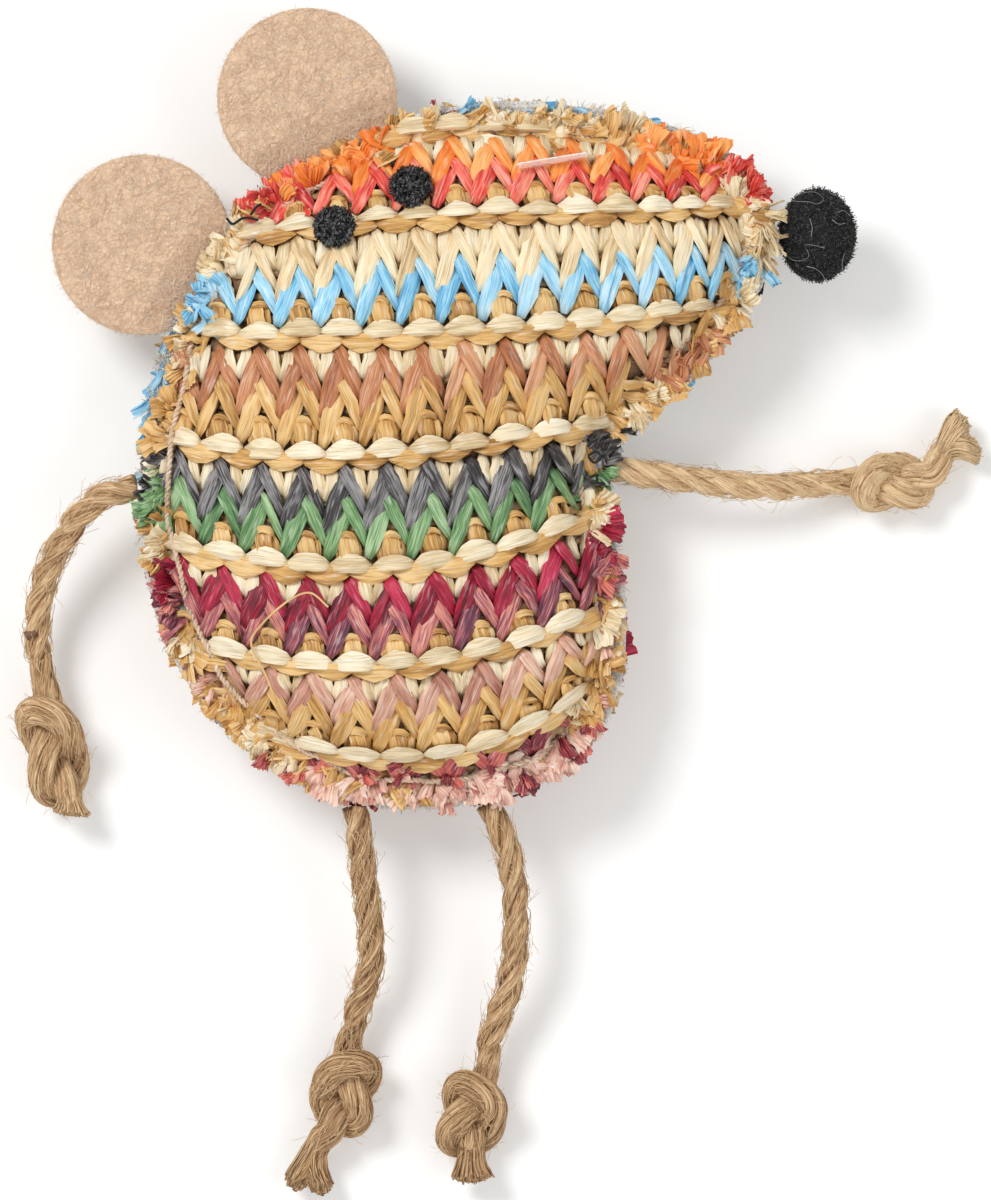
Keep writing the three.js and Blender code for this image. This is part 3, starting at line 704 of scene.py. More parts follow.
# %% Lay the copies
FLOOR_GAP = 0.02 * MM
FOLD_SLIP = 0.12
SIDE_FOLDS = 0.95
CREASE_SPREAD = 0.3
CREASE_WANDER = 0.1
TOP_SIDE = -0.2
CUT_BACK = (-1, 0.7)
PATTERN_SPREAD = 400
TINY = 1e-12


def curve_weights(controls, spans):
    """How much each control place counts at each ring of a strip (a Bezier curve)."""
    t = np.linspace(0, 1, spans + 1)[:, None]
    k = np.arange(controls)
    choose = np.array([math.comb(controls - 1, i) for i in k])
    return choose * t**k * (1 - t) ** (controls - 1 - k)


def bent(controls, spans):
    """The rings of many copies, from the control places of all of them."""
    return np.einsum("rk,knd->nrd", curve_weights(len(controls), spans), np.array(controls))


def laid(pattern, rings, facing, left, right, thick, rng, twist=0.0, tones=(0, 1), ragged=0.0):
    """Bends a copy of the pattern along each row of rings. Gives vertices, faces, UVs, tones and folds."""
    on = np.gradient(rings, axis=1)
    on /= np.linalg.norm(on, axis=2, keepdims=True) + TINY
    side = np.cross(facing, on)
    side /= np.linalg.norm(side, axis=2, keepdims=True) + TINY
    up = np.cross(on, side)
    count = len(rings)
    turn = rng.normal(0, 1, (count, 1, 1)) * twist
    side, up = side * np.cos(turn) + up * np.sin(turn), up * np.cos(turn) - side * np.sin(turn)
    ring, across, height = pattern["ring"], pattern["across"], pattern["up"]
    half = np.where(across > 0, left[:, ring], right[:, ring])
    folds = pattern["fold"]
    slip = rng.normal(0, FOLD_SLIP, (count, folds.max() + 1))[:, folds] * (np.abs(across) < SIDE_FOLDS)
    crease = 1 + (rng.normal(0, CREASE_SPREAD, (count, folds.max() + 1))[:, folds]
                  + rng.normal(0, CREASE_WANDER, (count, len(across)))) * (height > TOP_SIDE)
    vertices = rings[:, ring] + side[:, ring] * ((across + slip) * half)[..., None]
    vertices = vertices + up[:, ring] * (height * crease * thick[:, ring])[..., None]
    if ragged:
        cut_back = rng.uniform(*CUT_BACK, (count, len(ring))) * ragged * (ring == pattern["spans"])
        vertices += on[:, ring] * cut_back[..., None]
    vertices[..., 2] = np.maximum(vertices[..., 2], FLOOR_GAP)
    run = np.linalg.norm(np.diff(rings, axis=1), axis=2).sum(axis=1, keepdims=True) / MM
    offset = rng.uniform(0, PATTERN_SPREAD, (count, 2))
    uv = np.stack([run * pattern["share"] + offset[:, :1], across * half / MM + offset[:, 1:]], axis=2)
    tone = np.repeat(rng.uniform(*tones, (count, 1)), len(across), axis=1)
    return vertices, pattern["faces"], uv, tone, folds


def laid_fibres(rings, facing, half, rng, **options):
    """Fibres of one thickness, each of which faces one way."""
    thin = np.full(rings.shape[:2], half)
    faced = np.repeat(facing[:, None], FIBRE_SPANS + 1, axis=1)
    return laid(FIBRE, rings, faced, thin, thin, thin, rng, **options)


# %% [markdown]
# Blender takes a mesh as lists of places and faces. The tone and the UV map go in with them, and on
# raffia the edges that run along a strip are marked sharp, so that each fold catches the light by itself.

# %% One mesh from many copies
def mesh_piece(name, parts, material, creased=False):
    """One object from laid parts. Creased strips keep their lengthwise folds sharp."""
    places, faces, uvs, tones, folds, start = [], [], [], [], [], 0
    for vertices, pattern_faces, uv, tone, fold in parts:
        size = vertices.shape[1]
        folds.append(np.tile(fold, len(vertices)))
        for copy in range(len(vertices)):
            base = start + copy * size
            faces += [[base + i for i in face] for face in pattern_faces]
        start += vertices.shape[0] * size
        places.append(vertices.reshape(-1, 3))
        uvs.append(uv.reshape(-1, 2))
        tones.append(tone.reshape(-1))
    mesh = bpy.data.meshes.new(name)
    mesh.from_pydata(np.vstack(places).tolist(), [], faces)
    corner = np.empty(len(mesh.loops), dtype=np.int32)
    mesh.loops.foreach_get("vertex_index", corner)
    mesh.uv_layers.new(name="UVMap").data.foreach_set("uv", np.vstack(uvs)[corner].ravel())
    mesh.attributes.new("tone", "FLOAT", "POINT").data.foreach_set("value", np.concatenate(tones))
    if creased:
        ends = np.empty(len(mesh.edges) * 2, dtype=np.int32)
        mesh.edges.foreach_get("vertices", ends)
        first, last = np.concatenate(folds)[ends].reshape(-1, 2).T
        mesh.attributes.new("sharp_edge", "BOOLEAN", "EDGE").data.foreach_set("value", first == last)
    piece = linked(name, mesh)
    shade_and_fill(piece, material)
    mesh.update()
    return piece


def finished(piece, body, slot, *nodes):
    """Says what a piece moves with, and which solids it stands for. Its finish, the slot, is not used."""
    if body:
        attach(piece, body)
    if nodes:
        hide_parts(*nodes)
    triangles = sum(len(face.vertices) - 2 for face in piece.data.polygons)
    print(piece.name, triangles, "triangles")
    return piece


# %% [markdown]
# ## The stuffed body
# Two gauze-lined panels are filled until they are round. The layers inside are copied, joined and
# remeshed into one skin, and a cloth simulation with a little pressure swells it between the stitches of
# the seam, which is pinned. A plain shell would be perfectly even, and stuffing isn't.

# %% Join the inner layers and swell them
SKIN_VOXEL = 1.6 * MM
MERGE_GAP = 0.001 * MM
PINNED_WITHIN = 3 * MM
SWELL_PRESSURE = 4
SWELL_FRAMES = 18
SWELL_MOST = 0.9 * MM
LOWEST_SKIN = 1.0 * MM
EVEN_ROUNDS = 3
NO_MOVE = 1e-9
ROOTS = [f"{name}_root" for name in LIMBS]
INNER_NODES = ["front_lining", "back_lining", "stuffing", "catnip_pouch", "left_ear_tab", "right_ear_tab",
               *ROOTS, "nose_stitch"]


def merged_copy(name):
    """A copy of a frame node's mesh with its loose triangles joined up."""
    node = frame["nodes"][name]
    piece = linked(f"{name}_copy", node.data.copy())
    bpy.ops.object.select_all(action="DESELECT")
    piece.select_set(True)
    bpy.context.view_layer.objects.active = piece
    bpy.ops.object.mode_set(mode="EDIT")
    bpy.ops.mesh.select_all(action="SELECT")
    bpy.ops.mesh.remove_doubles(threshold=MERGE_GAP)
    bpy.ops.object.mode_set(mode="OBJECT")
    return piece


copies = [merged_copy(name) for name in INNER_NODES]
for piece in copies:
    piece.select_set(True)
bpy.context.view_layer.objects.active = copies[0]
bpy.ops.object.join()
body = bpy.context.active_object
body.name = "stuffed_body"
body.data.remesh_voxel_size = SKIN_VOXEL
bpy.ops.object.voxel_remesh()
still = places_of(body)
print("skin points", len(still), "box", np.round(still.min(0) / MM, 1), np.round(still.max(0) / MM, 1))

pinned = body.vertex_groups.new(name="seam")
for vertex in body.data.vertices:
    near_seam = 1 - min(1, abs(vertex.co.z - seam_height) / PINNED_WITHIN)
    pinned.add([vertex.index], max(0, near_seam), "REPLACE")
cloth = body.modifiers.new("swell", "CLOTH")
cloth.settings.use_pressure = True
cloth.settings.uniform_pressure_force = SWELL_PRESSURE
cloth.settings.effector_weights.gravity = 0
cloth.settings.vertex_group_mass = "seam"
for step in range(1, SWELL_FRAMES + 1):
    bpy.context.scene.frame_set(step)
bpy.ops.object.modifier_apply(modifier="swell")
bpy.context.scene.frame_set(1)
body.vertex_groups.clear()

moved = places_of(body) - still
distance = np.linalg.norm(moved, axis=1, keepdims=True)
moved *= np.minimum(1, SWELL_MOST / np.maximum(distance, NO_MOVE))
places = still + moved
places[:, 2] = np.maximum(places[:, 2], LOWEST_SKIN)
move_to(body, places)
smoothing = body.modifiers.new("even", "SMOOTH")
smoothing.iterations = EVEN_ROUNDS
bpy.ops.object.modifier_apply(modifier="even")
fine_skin = body.modifiers.new("fine", "SUBSURF")
fine_skin.levels = fine_skin.render_levels = 1
bpy.ops.object.modifier_apply(modifier="fine")
print("largest move", round(float(distance.max()) / MM, 2), "mm, points", len(body.data.vertices))

# %% [markdown]
# ## The panels as maps
# The stitches need two things from the body: how high it is at a place, and how far that place is from
# the cut edge. The edge comes from rays shot inwards at the panel's rim, and the height from rays shot
# down (or up) at the skin.

# %% The cut edge
RIM_TURNS = 900
RIM_STEP = 0.5 * MM
EDGE_RISE = 1.85 * MM
FAR = 0.15
AT_ONCE = 4000

panel_copy = merged_copy("front_panel")
panel_tree = BVHTree.FromObject(panel_copy, bpy.context.evaluated_depsgraph_get())
rim_places = []
for turn in np.linspace(0, 2 * math.pi, RIM_TURNS, endpoint=False):
    way = Vector((math.cos(turn), math.sin(turn), 0))
    hit = panel_tree.ray_cast(way * FAR + Vector((0, 0, seam_height + EDGE_RISE)), -way)[0]
    rim_places.append((hit.x, hit.y, 0))
bpy.data.objects.remove(panel_copy)
rim = evenly(np.array([*rim_places, rim_places[0]]), RIM_STEP)[:-1]
rim_on = unit(np.roll(rim, -1, axis=0) - np.roll(rim, 1, axis=0))
rim_out = np.stack([rim_on[:, 1], -rim_on[:, 0]], axis=1)
print("rim", round(line_length(rim) / MM, 1), "mm,", len(rim), "points")


def inside_rim(x, y):
    """How far places lie inside the cut edge, in metres. Outside it is below zero."""
    flat = np.stack([np.ravel(x), np.ravel(y)], axis=1)
    result = np.empty(len(flat))
    for start in range(0, len(flat), AT_ONCE):
        part = flat[start:start + AT_ONCE]
        away = part[:, None] - rim[None, :, :2]
        nearest = np.argmin((away**2).sum(axis=2), axis=1)
        rows = np.arange(len(part))
        result[start:start + AT_ONCE] = -(away[rows, nearest] * rim_out[nearest]).sum(axis=1)
    return result.reshape(np.shape(x))


# %% [markdown]
# A height map is quick to read at thousands of places at once. Rays that miss leave holes, which are
# filled from their neighbours, and the map is softened a little, so that the strips don't follow every
# facet of the skin.

# %% Heights on a grid
GRID = 1.0 * MM
GRID_LOW = np.array([-0.048, -0.064])
GRID_SIZE = (122, 128)
FILL_ROUNDS = 14
SOFT_ROUNDS = 2
STEEPEST = 1.6
LAST_CELL = 1.001


class Panel:
    """One side of the body as a height map. Side is 1 for the front and -1 for the back."""

    def __init__(self, side, tree):
        self.side = side
        heights = np.full(GRID_SIZE, np.nan)
        for i in range(GRID_SIZE[0]):
            for j in range(GRID_SIZE[1]):
                x, y = GRID_LOW + GRID * np.array([i, j])
                hit = tree.ray_cast(Vector((x, y, side * FAR)), Vector((0, 0, -side)))[0]
                if hit is not None:
                    heights[i, j] = hit.z
        self.heights = self.softened(self.filled(heights))
        self.slopes = [np.clip(slope, -STEEPEST, STEEPEST) for slope in np.gradient(self.heights, GRID)]

    def filled(self, heights):
        for _ in range(FILL_ROUNDS):
            known = ~np.isnan(heights)
            total, count = np.zeros(GRID_SIZE), np.zeros(GRID_SIZE)
            for axis in (0, 1):
                for step in (-1, 1):
                    total += np.roll(np.where(known, heights, 0), step, axis)
                    count += np.roll(known, step, axis)
            heights = np.where(known, heights, np.where(count > 0, total / np.maximum(count, 1), np.nan))
        return np.where(np.isnan(heights), seam_height, heights)

    def softened(self, heights):
        for _ in range(SOFT_ROUNDS):
            for axis in (0, 1):
                heights = (np.roll(heights, 1, axis) + 2 * heights + np.roll(heights, -1, axis)) / 4
        return heights

    def read(self, grid, x, y):
        """The value of a grid between its points."""
        u = np.clip((x - GRID_LOW[0]) / GRID, 0, GRID_SIZE[0] - LAST_CELL)
        v = np.clip((y - GRID_LOW[1]) / GRID, 0, GRID_SIZE[1] - LAST_CELL)
        i, j = u.astype(int), v.astype(int)
        u, v = u - i, v - j
        return ((1 - u) * (1 - v) * grid[i, j] + u * (1 - v) * grid[i + 1, j]
                + (1 - u) * v * grid[i, j + 1] + u * v * grid[i + 1, j + 1])

    def facing(self, x, y):
        """The way that the skin faces, away from the filling."""
        east, north = (self.read(slope, x, y) for slope in self.slopes)
        return self.side * unit(np.stack([-east, -north, np.ones_like(x)], -1))

    def over(self, x, y, lift):
        """The place that is lift off the skin and is seen over (x, y) from straight above."""
        base = np.stack([x, y], axis=-1) - self.facing(x, y)[..., :2] * lift[..., None]
        height = self.read(self.heights, base[..., 0], base[..., 1])
        height = height + self.facing(base[..., 0], base[..., 1])[..., 2] * lift
        return np.stack([x, y, np.maximum(height, FLOOR_GAP)], axis=-1)


skin_tree = BVHTree.FromObject(body, bpy.context.evaluated_depsgraph_get())
front = Panel(1, skin_tree)
back = Panel(-1, skin_tree)
print("front top and back bottom, mm", np.round([front.heights.max() / MM, back.heights.min() / MM], 2))

# %% [markdown]
# The gauze of the body is white where it shows past the stitches and painted a shaded brown under them,
# so each point's tone says how far it lies inside the cut edge.

# %% The body's finish
GAUZE_SHOW = 3.2 * MM
GAUZE_SHADE_FADE = 1.5 * MM

points = places_of(body)
# The tone is the mask of the gauze's painted shade: 0 near the cut edge, where it shows white, and 1 under
# the stitches.
depth = np.clip((inside_rim(points[:, 0], points[:, 1]) - GAUZE_SHOW) / GAUZE_SHADE_FADE, 0, 1)
body.data.attributes.new("tone", "FLOAT", "POINT").data.foreach_set("value", depth)
shade_and_fill(body, gauze)
finished(body, "torso", "gauze", "stuffing", "front_lining", "back_lining")

# %% [markdown]
# ## The rows of stitch-work
# The fabric repeats one band. From the top, it has a ridge of cream petals, a row of tan strips that
# smile under them, two cream purls, two rows of V stitches in the band's own colours, and tan purls down
# to the next ridge. Rows follow the ridges that the photograph shows, and stitches stand in columns a
# little over 6 mm apart.

# %% Ridges and columns
RIDGES = [
    [(-30, 62), (-9, 65), (2, 66), (30, 66), (54, 60)],
    [(-30, 38), (-9, 46.2), (2, 48), (30, 48), (54, 43)],
    [(-32, 30.5), (-19.5, 33), (-1.5, 35), (25.5, 36.3), (52.5, 37.1)],
    [(-34, 18.4), (-13.5, 17.4), (10.5, 18.5), (34.5, 19.8), (52.5, 22.5)],
    [(-35, 2.6), (-19.5, -0.3), (1.5, 0.5), (25.5, 3), (37.5, 5.3)],
    [(-36, -12.6), (-19.5, -16.8), (1.5, -16.2), (19.5, -14.3), (31.5, -8.3)],
    [(-33, -27.4), (-18, -31.1), (-1.5, -31.6), (13.5, -30), (28.5, -24.8)],
    [(-27, -39), (-12, -44), (0, -45.7), (12, -44.4), (26, -38)],
    [(-27, -55), (-12, -60), (0, -61.5), (12, -60.5), (26, -55)],
]
RIDGE_CURVES = [np.polynomial.Polynomial.fit(*np.array(points).T, 3) for points in RIDGES]
COLUMN_MIDDLE = 4.4
COLUMN_PITCH = 6.05
COLUMN_LEAN = 0.05
COLUMN_SPREAD = 0.005
COLUMN_LEVEL = 27.75
CROWDED_FROM = 4
CROWDING = 0.15
COLUMNS = range(-8, 11)
RIDGE_ENDS = (3, 5)


def ridge_height(index, x):
    """The height of a ridge, held level a little past its ends."""
    first, last = RIDGES[index][0][0], RIDGES[index][-1][0]
    return RIDGE_CURVES[index](np.clip(x, first - RIDGE_ENDS[0], last + RIDGE_ENDS[1]))


def panel_place(column, row):
    """Where a column and a row are, in millimetres. A whole row is a ridge, and its band comes after it."""
    band = np.clip(np.floor(row).astype(int), 0, len(RIDGES) - 2)
    share = row - band
    x = COLUMN_MIDDLE + COLUMN_PITCH * column
    for _ in range(2):
        upper = np.choose(band, [ridge_height(i, x) for i in range(len(RIDGES) - 1)])
        lower = np.choose(band, [ridge_height(i + 1, x) for i in range(len(RIDGES) - 1)])
        y = upper + (lower - upper) * share
        below = COLUMN_LEVEL - y
        x = COLUMN_MIDDLE + COLUMN_LEAN * below + (COLUMN_PITCH + COLUMN_SPREAD * below) * column
        x = x - CROWDING * np.maximum(0, column - CROWDED_FROM) ** 2
    return x, y


def row_at(x, y):
    """The row of a place: the number of the ridge over it and how far it is to the next."""
    heights = np.stack([ridge_height(i, x) for i in range(len(RIDGES))])
    band = np.clip((heights > y).sum(axis=0) - 1, 0, len(RIDGES) - 2)
    upper = np.take_along_axis(heights, band[None], 0)[0]
    lower = np.take_along_axis(heights, band[None] + 1, 0)[0]
    return band + np.clip((upper - y) / (upper - lower), 0, 0.999)


# %% [markdown]
# Each kind of stitch is a short curve in the band's own measures: columns across, the share of the band
# down, and millimetres over the skin. It also has its widths on both sides, its thickness, and how much
# of the width is left at its ends, which are tucked under the neighbours.

# %% The kinds of stitch
PURL = (0.8, 1, 1, 1, 0.95, 0.8, 0.5)
ARCH = (0.5, 0.95, 1, 1, 1, 0.9, 0.6)
FULL = (0.6, 1, 1.1, 1.1, 1.05, 0.9, 0.5)
STITCHES = {
    "petal": dict(path=[(-0.58, 0.03, 0.4), (-0.3, 0.012, 2.7), (0.25, 0.012, 3.1), (0.54, 0.02, 1.4)],
                  wide=(1.5, 0.95), thick=0.62,
                  left=(0.05, 0.42, 0.98, 1.26, 1.14, 0.8, 0.25), right=(0.15, 0.75, 1.02, 1, 1, 0.9, 0.5)),
    "smile": dict(path=[(-0.06, 0.075, 0.5), (0.2, 0.085, 2.1), (0.8, 0.09, 2.4), (1.06, 0.075, 0.7)],
                  wide=(1.0, 1.5), thick=0.7,
                  left=(0.4, 1, 1, 1, 1, 1, 0.5), right=(0.1, 0.5, 0.95, 1.2, 1.05, 0.6, 0.2)),
    "purl_left": dict(path=[(0.3, 0.15, 0.5), (0.29, 0.23, 1.8), (0.36, 0.34, 1.6), (0.46, 0.43, 0.1)],
                      wide=(1.0, 1.0), thick=0.75, left=PURL),
    "purl_right": dict(path=[(0.71, 0.15, 0.4), (0.69, 0.24, 1.8), (0.62, 0.36, 1.5), (0.52, 0.44, 0.1)],
                       wide=(1.0, 1.0), thick=0.75, left=PURL),
    "v_down": dict(path=[(-0.08, 0.14, 0.9), (0.1, 0.26, 2.3), (0.28, 0.44, 2.0), (0.52, 0.66, 0.2)],
                   wide=(0.98, 0.98), thick=0.66, left=(0.75, 1, 1.05, 1.05, 0.95, 0.7, 0.25)),
    "v_up": dict(path=[(0.03, 0.16, 0.2), (-0.14, 0.31, 1.6), (-0.34, 0.53, 2.5), (-0.55, 0.72, 1.3)],
                 wide=(1.22, 1.22), thick=0.74, left=FULL),
    "arch_left": dict(path=[(-0.2, 0.78, 0.3), (-0.27, 0.82, 1.4), (-0.25, 0.92, 1.3), (-0.2, 1.0, 0.1)],
                      wide=(0.6, 0.6), thick=0.6, left=ARCH),
    "arch_right": dict(path=[(0.16, 0.78, 0.3), (0.26, 0.83, 1.5), (0.25, 0.92, 1.3), (0.2, 1.0, 0.1)],
                       wide=(0.65, 0.65), thick=0.6, left=ARCH),
    "arch_body": dict(path=[(-0.06, 0.73, 0.6), (-0.02, 0.82, 2.4), (0.02, 0.91, 2.2), (0.06, 1.0, 0.3)],
                      wide=(1.25, 1.25), thick=0.8, left=(0.35, 0.85, 1.05, 1.1, 1.05, 0.9, 0.6)),
    "arch_top": dict(path=[(-0.27, 0.83, 0.5), (-0.14, 0.70, 2.0), (0.12, 0.72, 2.6), (0.26, 0.80, 0.7)],
                     wide=(0.5, 0.5), thick=0.5, left=(0.4, 0.9, 1, 1, 1, 0.8, 0.3)),
    "stub_down": dict(path=[(-0.36, 0.04, 0.5), (-0.22, 0.1, 2.0), (-0.02, 0.2, 2.0), (0.1, 0.3, 0.3)],
                      wide=(1.1, 1.1), thick=0.6, left=(0.7, 1, 1.05, 1.05, 0.95, 0.7, 0.3)),
    "stub_up": dict(path=[(0.46, 0.05, 0.5), (0.34, 0.12, 2.2), (0.2, 0.22, 2.1), (0.02, 0.3, 0.3)],
                    wide=(1.3, 1.3), thick=0.65, left=FULL),
    "float": dict(path=[(-0.6, 0.1, 0.1), (-0.2, 0.08, 0.5), (0.2, 0.14, 0.5), (0.6, 0.1, 0.1)],
                  wide=(0.7, 0.7), thick=0.35, left=(0.8, 1, 1, 1, 1, 1, 0.8)),
}
SEAM_INSET = 4.1 * MM
SEAM_PINCH = 0.55
PINCH_REACH = 0.9 * MM
HEAD_TOP = 44 * MM
HEAD_SIDES = (0 * MM, 33 * MM)
FOOT = -46 * MM
STITCH_ROOM = {"head": 1.4 * MM, "foot": 2.6 * MM, "sides": 3.4 * MM}
END_OUTSIDE = 2.2 * MM
COLUMN_WANDER = (0.018, 0.01)
ROW_WANDER = 0.008
LEAST_LIFT = 0.15 * MM
LIFT_SPREAD = 0.06
WIDTH_SPREAD = (0.08, 0.05)
CROWDED_WIDTHS = (0.6, 1.1)
print("kinds of stitch", len(STITCHES))

# %% [markdown]
# Whether a stitch is laid depends on how far inside the cut edge its middle is. In the seam it is pressed
# flat, where the columns are crowded it is narrower, and each copy is a little out of line with its
# neighbours.

# %% Stitches in their places
def over_head(x, y):
    """Where the frays are folded away, at the top of the head."""
    return (y > HEAD_TOP) & (x > HEAD_SIDES[0]) & (x < HEAD_SIDES[1])


def stitch_room(x, y):
    """How far inside the cut edge a stitch has to lie to be whole."""
    elsewhere = np.where(y < FOOT, STITCH_ROOM["foot"], STITCH_ROOM["sides"])
    return np.where(over_head(x, y), STITCH_ROOM["head"], elsewhere)


def stitch_rings(panel, kind, columns, rows, rng, shift=0.0):
    """The bent centre lines, ways up, widths and thickness of one kind of stitch at many places."""
    form = STITCHES[kind]
    path = np.einsum("rk,kd->rd", curve_weights(len(form["path"]), STRIP_SPANS), np.array(form["path"]))
    count, rings = len(columns), STRIP_SPANS + 1
    wander = rng.normal(0, COLUMN_WANDER[0], (count, 1)) + rng.normal(0, COLUMN_WANDER[1], (count, rings))
    column = columns[:, None] + path[None, :, 0] + wander
    row = rows[:, None] + shift + path[None, :, 1] + rng.normal(0, ROW_WANDER, (count, 1))
    x, y = panel_place(column, row)
    x, y = x * MM, y * MM
    middle = STRIP_SPANS // 2
    room = stitch_room(x[:, middle], y[:, middle])
    inside = inside_rim(x, y)
    keep = (inside[:, middle] > room) & (inside.min(axis=1) > room - END_OUTSIDE)
    x, y, column, row, inside = x[keep], y[keep], column[keep], row[keep], inside[keep]
    count = len(x)
    pinch = 1 - SEAM_PINCH * np.exp(-(((inside - SEAM_INSET) / PINCH_REACH) ** 2))
    lift = (path[None, :, 2] * MM * rng.normal(1, LIFT_SPREAD, (count, 1)) + LEAST_LIFT) * pinch
    near, _ = panel_place(column[:, :1] + 0.5, row[:, :1])
    far, _ = panel_place(column[:, :1] - 0.5, row[:, :1])
    crowded = np.clip(np.abs(near - far) * MM / (COLUMN_PITCH * MM), *CROWDED_WIDTHS)
    wide = rng.normal(1, WIDTH_SPREAD[0], (count, 1)) * rng.normal(1, WIDTH_SPREAD[1], (count, rings))
    wide = wide * crowded * MM
    left = wide * form["wide"][0] * np.array(form["left"])
    right = wide * form["wide"][1] * np.array(form.get("right", form["left"]))
    if panel.side < 0:
        left, right = right, left
    bulge = 0.5 + 0.5 * np.sin(math.pi * np.linspace(0, 1, rings)) ** 0.6
    thick = np.repeat(form["thick"] * MM * bulge[None], count, axis=0)
    return panel.over(x, y, lift), panel.facing(x, y), left, right, thick


# %% [markdown]
# Each band names its upper and its lower colour. Under the stitches lie flat strips, the floats, so that
# no gauze shows between them. The last band is cut short by the seam, so it only has the stubs of its
# strips.

# %% Lay every row of one panel
FRONT_BANDS = [("tan", "tan"), ("orange", "red"), ("pale_cream", "blue"), ("copper", "tan"),
               ("grey", "green"), ("magenta", "purple"), ("mauve", "tan"), ("wine", "pink")]
BACK_BANDS = [("blue", "blue"), ("blue", "purple"), ("tan", "grey"), ("pale_cream", "blue"),
              ("blue", "tan"), ("copper", "tan"), ("magenta", "purple"), ("wine", "pink")]
V_STEP = 0.24
FLOAT_STEPS = (0.12, 0.34, 0.56, 0.78)
STITCH_TWIST = 0.12


def stitches_of_band(band, bands):
    """The yarn, the kind and the step down of every row of stitches in a band, as they are laid."""
    upper, lower = bands[band]
    rows = [("float", "float", step) for step in FLOAT_STEPS]
    if band:
        rows += [("cream", "petal", 0), ("tan", "smile", 0)]
    if band == len(bands) - 1:
        return rows + [(upper, "stub_down", 0), (upper, "stub_up", 0)]
    rows += [("cream", "purl_left", 0), ("cream", "purl_right", 0)]
    for yarn, step in ((lower, V_STEP), (upper, 0)):
        rows += [(yarn, "v_down", step), (yarn, "v_up", step)]
    return rows + [("tan", kind, 0) for kind in ("arch_left", "arch_right", "arch_body", "arch_top")]


def stitch_rows(panel, bands, rng):
    """All the stitches of a panel, as laid strips for each colour."""
    strips = {}
    columns = np.array(COLUMNS, float)
    for band in range(len(bands)):
        rows = np.full(len(columns), float(band))
        for yarn, kind, step in stitches_of_band(band, bands):
            rings = stitch_rings(panel, kind, columns, rows, rng, step)
            if len(rings[0]):
                strips.setdefault(yarn, []).append(laid(STRIP, *rings, rng, twist=STITCH_TWIST))
    return strips


front_strips = stitch_rows(front, FRONT_BANDS, draws(11))
back_strips = stitch_rows(back, BACK_BANDS, draws(12))
print("front strips", sum(len(part[0]) for parts in front_strips.values() for part in parts))

# %% [markdown]
# ## The frayed edge
# The panels were cut out and sewn, so every strip that crosses the seam ends outside it. A cut end opens
# into a thin pleated sheet that is wider and ragged at its tip, and others are crumpled under it. Each
# takes the colour of the row that it comes from. Where the photograph shows the back panel past the edge,
# the front's ends are shorter.

# %% Fans and crumpled ends
ROW_BLUR = 0.05
CREAM_ROWS = (0.07, 0.97)
TAN_ROWS = (0.18, 0.86)
STRAY_MOST = 1.0 * MM
SHORTEST_SHARE = 0.3
TUFT_STEPS = (0, 0.35, 0.7, 1)
TUFT_ROOT_LIFT = 0.2
TUFT_LIFTS = (0.9, 2.2, 1.0)
TUFT_BEND = 0.3
TUFT_TWIST = 0.4
FAN_LIFTS = (1.2, 2.4, 1.5)
FAN_THICK = 0.2 * MM
FAN_RAGGED = 0.35 * MM


def yarn_of(share, upper, lower):
    """The yarn at a share of the way down a band."""
    if share < CREAM_ROWS[0] or share > CREAM_ROWS[1]:
        return "cream"
    if share < TAN_ROWS[0] or share > TAN_ROWS[1]:
        return "tan"
    return upper if share < 0.5 else lower


def yarn_at(bands, x, y, rng):
    """The yarn of the row at each place, in millimetres."""
    row = row_at(x, y)
    shares = row % 1 + rng.normal(0, ROW_BLUR, len(row))
    return np.array([yarn_of(share, *bands[band]) for band, share in zip(np.floor(row).astype(int), shares)])


def tufts(panel, pattern, place, heading, length, half, thick, rng, lifts=TUFT_LIFTS, flare=0.0,
          crinkle=0.07, ragged=0.0, stray=STRAY_MOST):
    """Strips that start at places on the panel and run out along headings, in radians."""
    count = len(place)
    way = on_the_level(heading)
    tip = place + way * length[:, None]
    outside = np.maximum(0, -inside_rim(*tip.T) - stray)
    length = np.maximum(length - outside, SHORTEST_SHARE * length)
    bend = rng.normal(0, TUFT_BEND, count)[:, None] * np.stack([-way[:, 1], way[:, 0]], axis=1)
    controls = []
    for step, lift in zip(TUFT_STEPS, (TUFT_ROOT_LIFT, *lifts)):
        at = place + (way + bend * step) * (length * step)[:, None]
        height = (lift * rng.uniform(0.5, 1.5, count)) * MM
        controls.append(panel.over(*at.T, height))
    rings = bent(controls, pattern["spans"])
    rings[:, 1:] += rng.normal(0, crinkle * MM, rings[:, 1:].shape)
    facing = panel.facing(rings[..., 0], rings[..., 1])
    t = np.linspace(0, 1, pattern["spans"] + 1)
    profile = (1 - flare) * (0.55 + 0.45 * np.sin(math.pi * t**1.3)) + flare * (0.22 + 0.95 * t)
    left, right = (half[:, None] * profile * rng.normal(1, 0.1, (count, len(t))) for _ in range(2))
    depth = np.repeat((thick * (1 - 0.5 * t))[None], count, axis=0)
    return laid(pattern, rings, facing, left, right, depth, rng, twist=TUFT_TWIST, ragged=ragged)


def fans(panel, place, heading, length, half, rng, lifts=FAN_LIFTS, stray=STRAY_MOST):
    """Cut ends that have opened into pleated sheets with ragged tips."""
    return tufts(panel, OPEN, place, heading, length, half, FAN_THICK, rng, lifts, flare=0.85, crinkle=0.06,
                 ragged=FAN_RAGGED, stray=stray)


